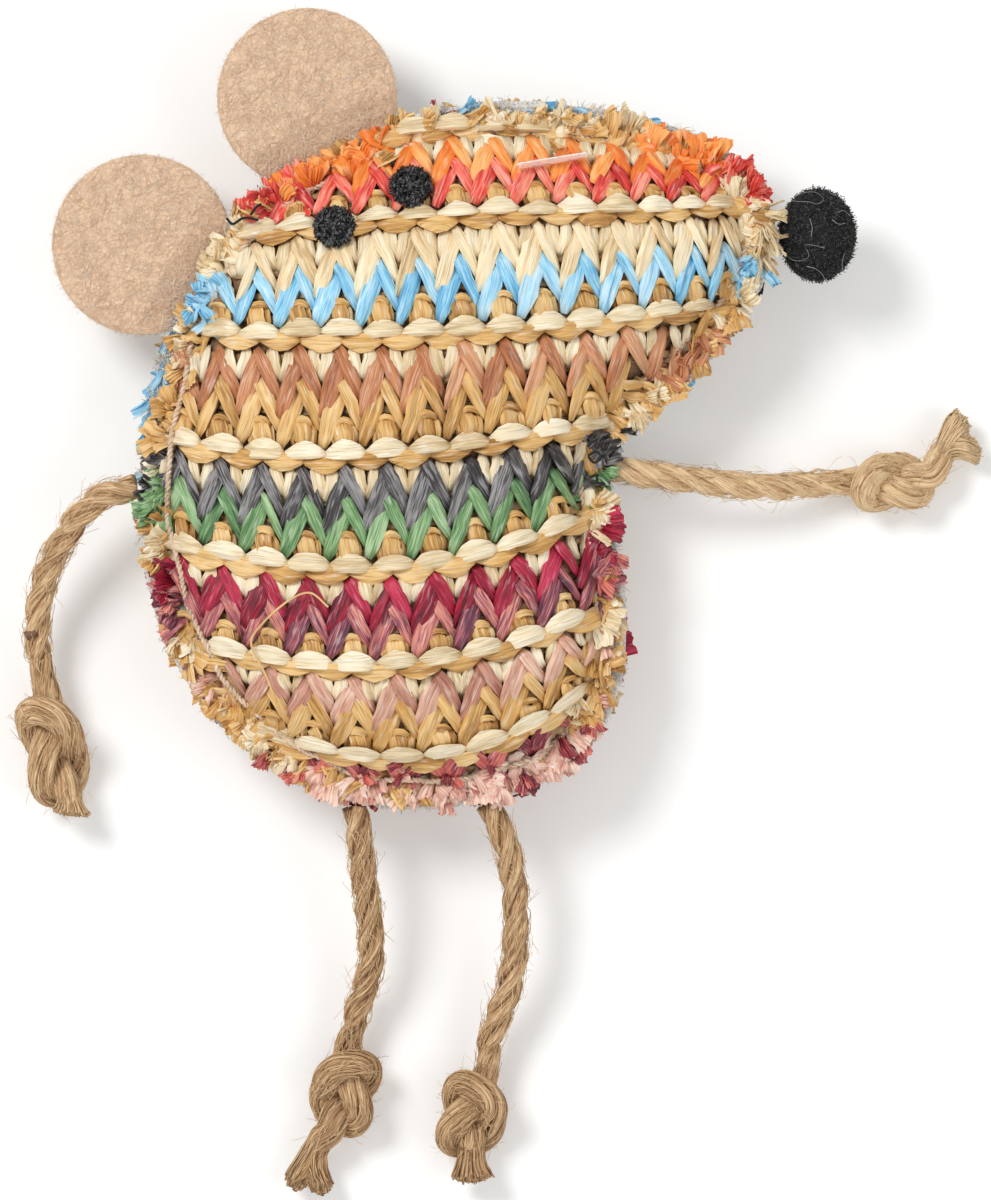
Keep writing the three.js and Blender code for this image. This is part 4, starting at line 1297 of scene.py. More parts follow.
# %% [markdown]
# Of each kind of end there is one every so many millimetres of the edge. It starts inside the edge,
# reaches past it, and swings to either side of straight out. At the pixels listed here the photograph
# shows the front's ends shorter.

# %% Ends all round the edge
FRAYS = {
    "crumpled": dict(every=0.9, start=(2.8, 5.8), beyond=(-1.8, 0.4), half=(0.5, 1.1), swing=0.8,
                     pattern=STRIP, thick=0.4),
    "fan": dict(every=0.95, start=(2.6, 5.0), beyond=(-1.0, 0.8), half=(0.9, 1.8), swing=0.45),
    "fibre": dict(every=1.1, start=(0.4, 2.4), beyond=(0.0, 1.2), half=(0.04, 0.08), swing=0.8,
                  pattern=FIBRE, thick=0.06),
}
FRAY_SHORTEST = 1.4 * MM
FRAY_CRINKLE = 0.1
CREAM_FIBRES = 0.7
SHORT_FRAYS = [
    (120, 190, 275, 440, 2.6), (395, 660, 85, 135, 1.8), (690, 780, 130, 170, 1.4), (600, 640, 560, 700, 1.3),
    (740, 790, 240, 300, 1.8),
]
FOOT_FRAYS = ("pink", "mauve")
BACK_FRAYS_SHARE = 0.6


def shortened(place):
    """How much shorter the front's ends are at each place."""
    column, row = (place / (PIXEL, -PIXEL) + ORIGIN_PIXEL).T
    less = np.zeros(len(place))
    for left, right, top, bottom, cut in SHORT_FRAYS:
        less[(column > left) & (column < right) & (row > top) & (row < bottom)] = cut * MM
    return less


def rim_frays(panel, bands, strips, rng, share=1.0):
    """Crumpled ends, fans and loose fibres all round, in the colours of their rows."""
    heading = np.arctan2(rim_out[:, 1], rim_out[:, 0])
    for kind, fray in FRAYS.items():
        marks = np.arange(0, len(rim), fray["every"] / share * MM / RIM_STEP)
        index = np.clip((marks + rng.normal(0, 1, len(marks))).astype(int), 0, len(rim) - 1)
        count = len(index)
        start = rng.uniform(*fray["start"], count) * MM
        place = rim[index, :2] - rim_out[index] * start[:, None]
        shorter = shortened(place) if panel.side > 0 else np.zeros(count)
        length = np.maximum(start + rng.uniform(*fray["beyond"], count) * MM - shorter, FRAY_SHORTEST)
        yarns = yarn_at(bands, *place.T / MM, rng)
        at_head = over_head(*place.T) & (panel.side > 0)
        yarns = np.where(at_head, rng.choice(["tan", "cream"], count), yarns)
        turn = heading[index] + rng.normal(0, fray["swing"], count)
        half = rng.uniform(*fray["half"], count) * MM
        if kind == "fibre":
            yarns = np.where(rng.uniform(0, 1, count) < CREAM_FIBRES, "cream", yarns)
        for yarn in sorted(set(yarns)):
            chosen = [values[yarns == yarn] for values in (place, turn, length, half)]
            if kind == "fan":
                part = fans(panel, *chosen, rng)
            else:
                part = tufts(panel, fray["pattern"], *chosen, fray["thick"] * MM, rng, crinkle=FRAY_CRINKLE)
            strips.setdefault(yarn, []).append(part)


rim_frays(front, [*FRONT_BANDS[:-1], FOOT_FRAYS], front_strips, draws(21))
rim_frays(back, BACK_BANDS, back_strips, draws(22), BACK_FRAYS_SHARE)
print("strips with the ends", sum(len(part[0]) for parts in front_strips.values() for part in parts))

# %% [markdown]
# Where the photograph shows a particular end, it is listed: its yarn, its pixel, the way it points in
# degrees from the right, how many sheets there are, how far apart in pixels, and its length and half width
# in millimetres. The list goes round the toy from the left ear, over the head.

# %% The ends that stand out
CUT_ENDS = [
    ("orange", (352, 172), 110, 3, 10, 3.6, 1.6), ("orange", (285, 194), 100, 4, 12, 3.2, 1.4),
    ("orange", (316, 184), 60, 2, 6, 3.0, 1.2), ("tan", (374, 172), 50, 2, 5, 3.4, 1.5),
    ("red", (306, 200), 230, 2, 8, 2.6, 1.1), ("red", (250, 214), 120, 3, 8, 3.0, 1.2),
    ("red", (262, 206), 60, 2, 6, 2.6, 1.0), ("tan", (232, 226), 120, 2, 4, 3.0, 1.1),
    ("tan", (392, 130), 60, 2, 6, 3.0, 1.0), ("tan", (412, 122), 20, 3, 10, 3.0, 1.1),
    ("tan", (470, 118), 10, 3, 16, 3.2, 0.9), ("tan", (555, 120), -10, 4, 24, 3.4, 1.0),
    ("cream", (622, 132), 70, 4, 14, 3.2, 1.4), ("tan", (612, 146), 60, 3, 8, 3.6, 1.6),
    ("orange", (654, 156), 95, 4, 7, 4.0, 1.8), ("orange", (702, 166), 70, 4, 8, 4.2, 2.0),
    ("orange", (676, 168), 20, 2, 6, 3.2, 1.1), ("red", (733, 178), 80, 2, 5, 4.0, 1.0),
    ("red", (748, 194), 60, 3, 5, 4.8, 1.2), ("red", (752, 196), 20, 2, 4, 3.6, 1.0),
    ("tan", (764, 196), 70, 2, 4, 3.2, 1.3), ("cream", (758, 214), -15, 5, 6, 5.2, 1.0),
    ("cream", (756, 226), -75, 4, 6, 5.6, 0.6), ("tan", (762, 238), -60, 2, 3, 2.8, 1.0),
    ("cream", (738, 304), 40, 4, 7, 3.2, 1.5), ("tan", (742, 312), -70, 4, 8, 3.6, 1.5),
    ("cream", (724, 338), -40, 2, 5, 2.8, 1.2), ("copper", (714, 340), -130, 2, 6, 4.6, 0.9),
    ("copper", (718, 336), -62, 1, 1, 4.0, 0.8), ("tan", (698, 356), -75, 3, 7, 4.6, 1.2),
    ("tan", (708, 362), -115, 3, 4, 5.2, 0.5), ("tan", (668, 378), -65, 4, 10, 3.8, 1.5),
    ("cream", (634, 404), -60, 5, 10, 3.6, 1.5), ("cream", (648, 396), 10, 3, 6, 3.0, 1.2),
    ("dark", (618, 428), -40, 4, 6, 2.8, 0.5), ("dark", (598, 458), 60, 3, 5, 2.6, 0.6),
    ("green", (598, 466), -30, 3, 5, 2.8, 1.0), ("tan", (598, 488), -30, 2, 4, 2.6, 1.2),
    ("cream", (594, 506), -10, 3, 5, 3.4, 1.5), ("magenta", (594, 524), -18, 3, 3, 5.0, 1.7),
    ("purple", (603, 552), -65, 3, 6, 3.8, 1.0), ("salmon", (598, 572), -75, 3, 6, 4.0, 1.1),
    ("cream", (592, 614), -25, 4, 3, 5.6, 1.9), ("pink", (595, 640), -100, 2, 4, 3.0, 1.0),
    ("tan", (600, 652), -100, 4, 7, 4.4, 1.5), ("tan", (596, 686), -80, 3, 7, 3.8, 1.4),
    ("cream", (578, 694), -90, 3, 4, 3.0, 1.3), ("wine", (588, 712), -70, 3, 5, 3.4, 0.9),
    ("wine", (562, 738), -55, 4, 9, 4.4, 1.2), ("pink", (566, 754), -75, 3, 6, 3.8, 1.3),
    ("wine", (520, 766), -80, 4, 9, 3.6, 1.1), ("pink", (488, 780), -88, 4, 8, 3.8, 2.0),
    ("pink", (440, 784), -80, 4, 16, 3.2, 1.7), ("mauve", (404, 784), -100, 3, 14, 3.0, 1.6),
    ("pink", (366, 784), -95, 3, 10, 3.2, 1.6), ("tan", (350, 800), -90, 2, 6, 2.2, 1.2),
    ("tan", (416, 802), -90, 3, 22, 2.0, 1.2), ("tan", (486, 802), -80, 2, 8, 2.2, 1.3),
    ("wine", (366, 766), -70, 2, 8, 2.8, 0.9), ("wine", (404, 768), -110, 3, 9, 2.8, 0.9),
    ("wine", (450, 768), -70, 3, 9, 2.8, 0.9), ("wine", (490, 758), -80, 2, 8, 2.8, 0.9),
    ("pink", (330, 776), -105, 3, 9, 3.8, 1.4), ("wine", (306, 762), -100, 2, 8, 3.4, 0.9),
    ("wine", (282, 752), -130, 3, 10, 4.0, 1.1), ("salmon", (300, 770), -110, 2, 8, 3.0, 1.1),
    ("cream", (262, 738), -140, 3, 8, 3.0, 1.5), ("tan", (246, 718), -150, 4, 9, 3.4, 1.6),
    ("tan", (172, 436), 170, 4, 8, 4.6, 1.7), ("tan", (176, 412), 140, 3, 7, 3.8, 1.5),
    ("cream", (162, 470), 200, 2, 4, 3.0, 1.2), ("green", (166, 490), 220, 4, 7, 3.2, 1.3),
    ("dark", (156, 490), 160, 4, 6, 3.0, 0.35), ("tan", (168, 524), 120, 2, 5, 2.8, 1.2),
    ("cream", (172, 540), 200, 3, 5, 3.4, 1.5), ("tan", (164, 558), 220, 3, 5, 3.2, 1.4),
    ("magenta", (178, 578), 220, 4, 8, 3.4, 1.2), ("purple", (176, 604), 240, 3, 6, 3.0, 1.0),
    ("cream", (192, 634), 260, 3, 6, 3.6, 1.5), ("tan", (186, 652), 290, 3, 5, 4.4, 1.6),
    ("tan", (176, 640), 280, 2, 5, 4.0, 0.8), ("pink", (214, 684), 240, 3, 7, 3.2, 1.4),
    ("tan", (222, 700), 240, 3, 6, 3.4, 1.4), ("blue", (200, 298), 250, 3, 5, 3.4, 1.1),
    ("cream", (204, 262), 240, 3, 6, 3.6, 1.3), ("cream", (216, 240), 230, 2, 5, 3.2, 1.2),
    ("tan", (188, 370), 220, 3, 7, 3.4, 1.4), ("cream", (192, 346), 200, 3, 6, 3.2, 1.4),
]
BACK_ENDS = [
    ("blue", (174, 290), 242, 6, 12, 4.6, 0.8), ("blue", (164, 318), 250, 8, 14, 5.0, 0.8),
    ("blue", (156, 350), 256, 8, 14, 5.4, 0.8), ("blue", (149, 384), 258, 8, 14, 5.4, 0.8),
    ("blue", (144, 414), 262, 6, 10, 3.8, 0.8), ("blue", (460, 105), 12, 6, 18, 3.0, 0.6),
    ("blue", (530, 103), 0, 6, 26, 3.0, 0.6), ("blue", (590, 105), -4, 6, 26, 3.0, 0.6),
    ("blue", (640, 114), -14, 5, 16, 3.0, 0.6), ("blue", (684, 128), -22, 4, 14, 2.8, 0.6),
    ("wine", (428, 110), 30, 3, 10, 2.4, 0.5), ("wine", (735, 152), -30, 5, 14, 3.0, 0.7),
]
NOSE_ENDS = [
    ("cream", (762, 212), 0, 9, 8, 5.0, 0.24), ("cream", (766, 224), -78, 6, 6, 5.0, 0.26),
    ("cream", (762, 250), -52, 7, 7, 5.0, 0.28), ("blue", (758, 266), -58, 2, 3, 4.6, 0.8),
]
END_ROOM = {"front": 1.4 * MM, "back": 0.3 * MM}
CUT_LIFTS = (1.8, 3.1, 2.3)
BACK_LIFTS = (0.3, 0.6, 0.4)
NOSE_LIFTS = (2.6, 4.4, 5.2)
NOSE_STRAY = 3.0 * MM
PLACES_TRIED = 8
END_SWING = 0.3
END_SIZES = (0.8, 1.1)


def on_photograph(pixels):
    """Places in metres, at the height of the seam, of pixels of the photograph."""
    return (np.array(pixels, float) - ORIGIN_PIXEL) * (PIXEL, -PIXEL)


def placed_ends(ends, room, lifts, rng, stray=STRAY_MOST):
    """Each end's sheets start inside the cut edge, near its pixel."""
    for yarn, pixel, degrees, count, apart, length, half in ends:
        place = on_photograph(pixel) + rng.normal(0, apart * 0.5 * PIXEL, (count * PLACES_TRIED, 2))
        place = place[inside_rim(*place.T) > room][:count]
        if not len(place):
            print("no room for the", yarn, "end at", pixel)
            continue
        turn = math.radians(degrees) + rng.normal(0, END_SWING, len(place))
        sizes, halves = (value * MM * rng.uniform(*END_SIZES, len(place)) for value in (length, half))
        front_strips.setdefault(yarn, []).append(fans(front, place, turn, sizes, halves, rng, lifts, stray))


placed_ends(CUT_ENDS, END_ROOM["front"], CUT_LIFTS, draws(23))
placed_ends(BACK_ENDS, END_ROOM["back"], BACK_LIFTS, draws(24))
placed_ends(NOSE_ENDS, END_ROOM["front"], NOSE_LIFTS, draws(26), NOSE_STRAY)
print("sheets placed by hand", sum(end[3] for end in CUT_ENDS + BACK_ENDS + NOSE_ENDS))

# %% [markdown]
# White gauze lines both panels, and its net shows where the stitches have frayed away. It is a tangle of
# fine thread. Each spot is a pixel, how far its threads spread in pixels, and how many there are.

# %% Gauze at the edge
GAUZE_SPOTS = [
    ((172, 320), 12, 110), ((166, 360), 12, 110), ((158, 400), 12, 100), ((440, 108), 12, 50),
    ((500, 106), 22, 90), ((590, 107), 26, 110), ((690, 138), 16, 60), ((745, 158), 10, 40),
    ((612, 480), 6, 40), ((613, 540), 8, 30), ((612, 600), 9, 40), ((610, 668), 10, 80),
    ((598, 712), 8, 40), ((158, 475), 6, 30), ((150, 530), 8, 30), ((168, 640), 10, 40),
    ((215, 715), 10, 60), ((232, 210), 8, 30), ((300, 182), 16, 40), ((775, 200), 6, 40),
    ((640, 425), 12, 60), ((700, 385), 12, 30),
]
NET_MIDDLE = 1.6 * MM
NET_REACH = 1.9 * MM
NET_LENGTHS = (1.0, 2.4)
NET_HALF = 0.075 * MM
NET_THICK = 0.05 * MM
NET_LIFTS = (0.5, 0.9, 0.6)
NET_CRINKLE = 0.12


def gauze_net(spots, rng):
    parts = []
    for pixel, spread, count in spots:
        place = on_photograph(pixel) + rng.normal(0, spread * 0.6 * PIXEL, (count, 2))
        place = place[np.abs(inside_rim(*place.T) - NET_MIDDLE) < NET_REACH]
        count = len(place)
        turn = rng.uniform(0, 2 * math.pi, count)
        length = rng.uniform(*NET_LENGTHS, count) * MM
        half = np.full(count, NET_HALF)
        sizes = (length, half, NET_THICK)
        parts.append(tufts(front, FIBRE, place, turn, *sizes, rng, NET_LIFTS, crinkle=NET_CRINKLE))
    return parts


net = mesh_piece("gauze_net", gauze_net(GAUZE_SPOTS, draws(25)), fibre["white_thread"])
finished(net, "torso", "gauze")

# %% [markdown]
# All the strips of one colour on one side are one piece, which stands for the panel's solid together with
# the others.

# %% Make the rows' meshes
for side_name, strips in (("front", front_strips), ("back", back_strips)):
    for yarn, parts in sorted(strips.items()):
        piece = mesh_piece(f"{side_name}_{yarn}_raffia", parts, raffia[yarn], creased=True)
        finished(piece, "torso", "raffia", f"{side_name}_panel")

# %% [markdown]
# ## Twisted threads and ropes
# A rope is three strands that wind round each other, and a sewing thread is two. Each strand is a tube
# that follows a helix about the rope's own line. Its skin is grooved, because it is a bundle of fibres.

# %% Tubes and lays
TAPER_FROM = 0.955
TAPER_RUN = 0.045
TUBE_SPREAD = 300


def tube(line, radius, sides, rng, groove=0.0, taper=0.0, tones=(0.2, 0.8)):
    """A closed tube along a line, as a laid part of one copy."""
    _, across, up = directions_along(line)
    turn = np.linspace(0, 2 * math.pi, sides, endpoint=False)
    t = np.linspace(0, 1, len(line))
    wave = 1 + groove * rng.normal(0, 1, sides)
    size = radius * (1 - taper * np.clip((t - TAPER_FROM) / TAPER_RUN, 0, 1))
    skin = np.cos(turn)[None, :, None] * across[:, None] + np.sin(turn)[None, :, None] * up[:, None]
    ring = line[:, None] + skin * (size[:, None] * wave[None])[..., None]
    ring[..., 2] = np.maximum(ring[..., 2], FLOOR_GAP)
    rows = len(line)
    faces = []
    for i in range(rows - 1):
        for j in range(sides):
            k = (j + 1) % sides
            faces.append([i * sides + j, i * sides + k, (i + 1) * sides + k, (i + 1) * sides + j])
    faces.append(list(range(sides))[::-1])
    faces.append([(rows - 1) * sides + j for j in range(sides)])
    run = t * line_length(line) / MM
    around = np.arange(sides) / sides * 2 * math.pi * radius / MM
    uv = np.stack(np.broadcast_arrays(run[:, None], around[None]), axis=-1).reshape(1, -1, 2)
    tone = np.full((1, rows * sides), rng.uniform(*tones))
    uv = uv + rng.uniform(0, TUBE_SPREAD, 2)
    return ring.reshape(1, -1, 3), faces, uv, tone, np.tile(np.arange(sides), rows)


def twisted(line, strands, radius, offset, pitch, sides, rng, groove=0.06):
    """Strands wound left-handed round a line."""
    _, across, up = directions_along(line)
    parts = []
    for strand in range(strands):
        turn = 2 * math.pi * (strand / strands - run_along(line) / pitch)
        parts.append(tube(line + offset * turned(turn, across, up), radius, sides, rng, groove))
    return parts


# %% [markdown]
# Loose fibres take away the smooth look of a tube. Each starts in the skin, lies along the rope, and its
# end stands off. None may stray far from the rope, because long ones look like thorns.

# %% Hairs on a rope
HAIR_MOST = 1.9 * MM
HAIR_SIZES = (0.4, 1.0)
HAIR_SWING = 0.35
HAIR_ROOT = 0.93
HAIR_TONES = (0.6, 1.3)
HAIR_LOWEST = 0.1 * MM
NEAREST_STEP = 4


def hairs(line, radius, count, length, rng, lift, width=0.035, most=HAIR_MOST):
    """Loose fibres on a rope: they lie along it, and their ends stand off."""
    on, across, up = directions_along(line)
    start = rng.integers(0, len(line) - 1, count)
    turn = rng.uniform(0, 2 * math.pi, count)
    out = turned(turn, across[start], up[start])
    way = unit(on[start] * rng.choice([-1, 1], count)[:, None] + rng.normal(0, HAIR_SWING, (count, 3)))
    size = rng.uniform(*HAIR_SIZES, count)[:, None] * length
    base = line[start] + out * radius * HAIR_ROOT
    stand = rng.uniform(0, 1, count)[:, None] ** 2 * lift
    controls = [base, base + way * size * 0.35 + out * stand * 0.3, base + way * size * 0.7 + out * stand,
                base + way * size + out * stand * rng.uniform(0.3, 1.5, (count, 1))]
    controls[1:] = [control + rng.normal(0, 0.12, (count, 3)) * size * 0.6 for control in controls[1:]]
    rings = bent(controls, FIBRE_SPANS)
    places = line[::NEAREST_STEP]
    away = np.linalg.norm(rings[:, :, None] - places[None, None], axis=3)
    nearest = places[np.argmin(away, axis=2)]
    stray = np.linalg.norm(rings - nearest, axis=2, keepdims=True)
    rings = nearest + (rings - nearest) * np.minimum(1, (radius + most) / stray)
    rings[..., 2] = np.maximum(rings[..., 2], HAIR_LOWEST)
    return laid_fibres(rings, out, width * MM, rng, tones=HAIR_TONES)


# %% [markdown]
# ## The limbs
# The rope bends at the seam when its limb swings. The knot rides on the limb. It is the same rope drawn
# tight, so its lay is longer, and it ends in a brush of cut fibres.

# %% The rope's strands
STRANDS = 3
ROPE_STRAND = 0.9 * MM
ROPE_OFFSET = 1.06 * MM
ROPE_PITCH = 16 * MM
STRAND_SIDES = 10
ROPE_TIP = 0.6
RIDGE_RADIUS = 0.22 * MM
RIDGE_SIDES = 6
RIDGE_DEPTHS = (0.2, 0.8)
RIDGES_ON_STRAND = 9
RIDGE_PITCH = 26 * MM
RIDGE_WANDER = 0.25


def strand_centre(line, strand):
    """The middle of one of the rope's strands, with the ways across, and how far along each point is."""
    _, across, up = directions_along(line)
    run = run_along(line)
    turn = 2 * math.pi * (strand / STRANDS - run / ROPE_PITCH)
    return line + ROPE_OFFSET * turned(turn, across, up), across, up, run


def rope_strands(line, rng, tones):
    """Three strands, each with thin yarns that stand out on its skin."""
    parts = []
    for strand in range(STRANDS):
        wound, _, _, run = strand_centre(line, strand)
        parts.append(tube(wound, ROPE_STRAND, STRAND_SIDES, rng, 0.05, 0.4, tones))
        _, side, top = directions_along(wound)
        narrower = np.interp(run / run[-1], (TAPER_FROM, 1), (1, ROPE_TIP))
        for ridge in range(RIDGES_ON_STRAND):
            turn = 2 * math.pi * (ridge / RIDGES_ON_STRAND - run / RIDGE_PITCH) + rng.normal(0, RIDGE_WANDER)
            skin = (ROPE_STRAND - RIDGE_RADIUS * rng.uniform(*RIDGE_DEPTHS)) * narrower
            thin = wound + skin[:, None] * turned(turn, side, top)
            parts.append(tube(thin, RIDGE_RADIUS, RIDGE_SIDES, rng, 0.1, 0.3, tones))
    return parts


# %% [markdown]
# A rope that is drawn tight in a knot is flat: its three strands lose their round shape and its yarns lie
# side by side. So from the start of the knot on, thick yarns fill an oval that lies level, and thin ones
# make its skin.

# %% The knot's yarns
KNOT_PITCH = 42 * MM
KNOT_YARN = 0.8 * MM
KNOT_YARNS = 6
KNOT_WIDE = 1.4 * MM
KNOT_HIGH = 0.75 * MM
RIDGES_ON_KNOT = 28
FLATTEN_REACH = 6 * MM
KNOT_TIP = 0.6
KNOT_TIP_REACH = 2.5 * MM
WAVE_RUN = 5 * MM
CORE_YARN = dict(radius=KNOT_YARN, outside=0, sides=8, reach=0.15 * MM, count=KNOT_YARNS)
SKIN_YARN = dict(radius=RIDGE_RADIUS, outside=KNOT_YARN - 0.2 * MM, sides=5, reach=0.68 * MM,
                 count=RIDGES_ON_KNOT)


def knot_strands(line, start, rng, tones):
    """The rope drawn flat: from start on, its yarns leave the strands and turn round a level oval."""
    on = directions_along(line)[0]
    flat = unit(np.cross(on, (0, 0, 1)))
    high = np.cross(flat, on)
    parts = []
    for number, yarn in enumerate([CORE_YARN] * KNOT_YARNS + [SKIN_YARN] * RIDGES_ON_KNOT):
        centre, across, up, run = strand_centre(line, number % STRANDS)
        from_start = run - run[start]
        drawn = np.clip(from_start / FLATTEN_REACH, 0, 1)
        drawn = (drawn**2 * (3 - 2 * drawn))[:, None]
        place = rng.uniform(0, 2 * math.pi)
        centre = centre + yarn["reach"] * (math.cos(place) * across + math.sin(place) * up)
        turn = 2 * math.pi * (number / yarn["count"] - from_start / KNOT_PITCH) + rng.normal(0, 0.08)
        turn = turn + 0.12 * np.sin(run / WAVE_RUN + rng.uniform(0, 6))
        share = np.interp(run, (run[-1] - KNOT_TIP_REACH, run[-1]), (1, KNOT_TIP))
        oval = line + (share * (KNOT_WIDE + yarn["outside"]) * np.cos(turn))[:, None] * flat
        oval = oval + (share * (KNOT_HIGH + yarn["outside"]) * np.sin(turn))[:, None] * high
        wound = (centre + (oval - centre) * drawn)[start:]
        parts.append(tube(wound, yarn["radius"] * rng.uniform(0.85, 1.1), yarn["sides"], rng, 0.1, 0, tones))
    return parts


# %% [markdown]
# The cut end opens into a brush of some hundred fibres, which leave the knot as one or two bundles. The
# photograph shows which way each of them points and how wide it is.

# %% The brush at the cut end
BRUSH_FIBRES = 620
BRUSH_FLATNESS = 0.7
BRUSH_LOWEST = 0.2 * MM
BRUSH_ROOT = 1.9 * MM
BRUSH_DEEP = 1.8 * MM
BRUSH_WANDER = 0.16 * MM
BRUSH_HALF_WIDTHS = (0.1, 0.24)


def brush(line, limb, rng):
    """The cut end of a rope: fibres that leave the knot in one or two bundles and open a little."""
    size, width, bundles, count = limb["brush"] * MM, limb["brush_width"] * MM, limb["bundles"], BRUSH_FIBRES
    start = line[-1] - line[-4]
    start /= np.linalg.norm(start)
    way = np.array([*limb["brush_way"], 0.0])
    way /= np.linalg.norm(way)
    side = np.cross(way, (0, 0, 1))
    turn = rng.uniform(0, 2 * math.pi, count)
    far = np.sqrt(rng.uniform(0, 1, count))[:, None]
    disc = far * turned(turn, side, (0, 0, BRUSH_FLATNESS))
    share = (rng.integers(0, bundles, count) + 0.5) / bundles - 0.5
    length = size * (1.05 - 0.25 * far**2 + rng.uniform(-0.09, 0.04, (count, 1)))
    root = line[-1] - start * BRUSH_DEEP + disc * BRUSH_ROOT
    middle = line[-1] + start * size * 0.3 + disc * BRUSH_DEEP
    tip = line[-1] + way * length + side * (share * width)[:, None] + disc * width / bundles / 1.9
    controls = np.array([root, middle, middle * 0.35 + tip * 0.65 + disc * 0.5 * MM, tip])
    controls[1:] += rng.normal(0, BRUSH_WANDER, controls[1:].shape)
    controls[..., 2] = np.maximum(controls[..., 2], BRUSH_LOWEST)
    rings = bent(controls, FIBRE_SPANS)
    facing = np.repeat((disc + (0, 0, 0.4))[:, None], FIBRE_SPANS + 1, axis=1)
    wide = np.repeat(rng.uniform(*BRUSH_HALF_WIDTHS, (count, 1)), FIBRE_SPANS + 1, axis=1) * MM
    return laid(FIBRE, rings, facing, wide, wide, wide * 0.8, rng, tones=limb["tones"])


# %% [markdown]
# Each limb is put together from these parts. Long hairs stand off it, and short ones cross its lay, as
# the loose fibres of jute do. The rope starts a little inside the seam.

# %% Put the limbs together
ROOT_REACH = 1.6 * MM
OVERLAP = 3
KNOT_START = 3
KNOT_ROUND = 2.0 * MM
KNOT_SKIN = 1.95 * MM
LONG_HAIR = 4.0 * MM
ROPE_HAIRS = (150, 0.7 * MM)
KNOT_HAIRS = (260, 0.6 * MM)
ROPE_CROSSINGS = 320
KNOT_CROSSINGS = 420
CROSSING_SIZE = 3.6 * MM
CROSSING = dict(lift=0.2 * MM, width=0.055, most=0.3 * MM)

for number, (name, limb) in enumerate(LIMBS.items()):
    rng = draws(31 + number)
    rope, knot_path = rope_lines[name], knot_lines[name]
    inward = rope[0] - rope[2]
    inward *= (1, 1, 0)
    inward /= np.linalg.norm(inward)
    root = np.array([rope[0] + inward * ROOT_REACH * share for share in (1, 0.75, 0.5, 0.25)])
    line = evenly(np.vstack([root, rope, knot_path[:KNOT_START]]), LINE_STEP)
    parts = rope_strands(line, rng, limb["tones"])
    count, lift = ROPE_HAIRS
    parts.append(hairs(rope[6:], ROPE_DIAMETER / 2, count, LONG_HAIR, rng, lift))
    parts.append(hairs(rope[2:], ROPE_DIAMETER / 2, ROPE_CROSSINGS, CROSSING_SIZE, rng, **CROSSING))
    rope_piece = mesh_piece(f"{name}_jute_rope", parts, fibre["jute"])

    whole = evenly(np.vstack([root, rope, knot_path]), LINE_STEP)
    parts = knot_strands(whole, len(line) - OVERLAP, rng, limb["tones"])
    count, lift = KNOT_HAIRS
    parts.append(hairs(knot_path[2:], KNOT_ROUND, count, LONG_HAIR, rng, lift))
    parts.append(brush(knot_path, limb, rng))
    parts.append(hairs(knot_path[2:], KNOT_SKIN, KNOT_CROSSINGS, CROSSING_SIZE, rng, **CROSSING))
    knot_piece = mesh_piece(f"{name}_jute_knot", parts, fibre["jute"])
    finished(knot_piece, name, "jute", f"{name}_knot")

    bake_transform(rope_piece)
    finished(rope_piece, None, "jute", f"{name}_rope", f"{name}_root")

# %% [markdown]
# ## The ears
# Each ear is a disc of needle felt with part of it sewn into the seam. A cylinder is bevelled and
# remeshed, its faces are made slightly uneven, and short fibres are laid on it and round its edge.

# %% Fibres on the felt
EAR_RADIUS = 13.5 * MM
EAR_THICK = 2.0 * MM
FELT_FIBRE_HALF = 0.027 * MM
FELT_LIFTS = (0.06 * MM, 0.07 * MM)
FACE_FIBRE = 3.0 * MM
EDGE_FIBRE = 0.4 * MM
EDGE_BAND = (0.97, 1.0)
NO_REACH = 1e-9


def ear_fibres(centre, count, rng, edge):
    """Curled fibres that lie on both faces of an ear, or stand out round its edge."""
    turn = rng.uniform(0, 2 * math.pi, count)
    radius = EAR_RADIUS * (rng.uniform(*EDGE_BAND, count) if edge else np.sqrt(rng.uniform(0, 1, count)))
    top = rng.choice([-1, 1], count)
    level = np.zeros(count)
    out = np.column_stack([on_the_level(turn), level])
    up = np.column_stack([level, level, top])
    base = centre + out * radius[:, None] + up * (EAR_THICK / 2 * (0.5 if edge else 1.0))
    way = np.column_stack([on_the_level(rng.uniform(0, 2 * math.pi, count)), level])
    if edge:
        way = out + 0.9 * way
        up = out
    size = rng.uniform(0.5, 1.0, count)[:, None] * (EDGE_FIBRE if edge else FACE_FIBRE)
    curl = np.cross((0, 0, 1), way) * rng.normal(0, 0.8, (count, 1))
    controls = np.array([base, base + way * size * 0.3 + curl * size * 0.3 + up * FELT_LIFTS[0],
                         base + way * size * 0.7 + curl * size + up * FELT_LIFTS[1],
                         base + way * size + curl * size * 0.4])
    if not edge:
        flat = (controls - centre)[..., :2]
        reach = np.linalg.norm(flat, axis=-1, keepdims=True)
        controls[..., :2] = centre[:2] + flat * np.minimum(1, EAR_RADIUS / np.maximum(reach, NO_REACH))
    return laid_fibres(bent(controls, FIBRE_SPANS), up, FELT_FIBRE_HALF, rng)


# %% [markdown]
# The felt itself is a cylinder with soft edges. It is remeshed into small faces, and then thinned towards
# the seam, where the CAD's tab is thinner.

# %% Felt ears
EAR_TAB_THICK = 1.2 * MM
EAR_VOXEL = 0.6 * MM
EAR_SIDES = 96
EAR_BEVEL = 0.45 * MM
EAR_UNEVEN = 0.012 * MM
EAR_CENTRES = {"left_ear": 6.3 * MM, "right_ear": 5.3 * MM}
THIN_FROM = 0.5 * MM
THIN_REACH = 2 * MM
FACE_FIBRES = 5200
EDGE_FIBRES = 500

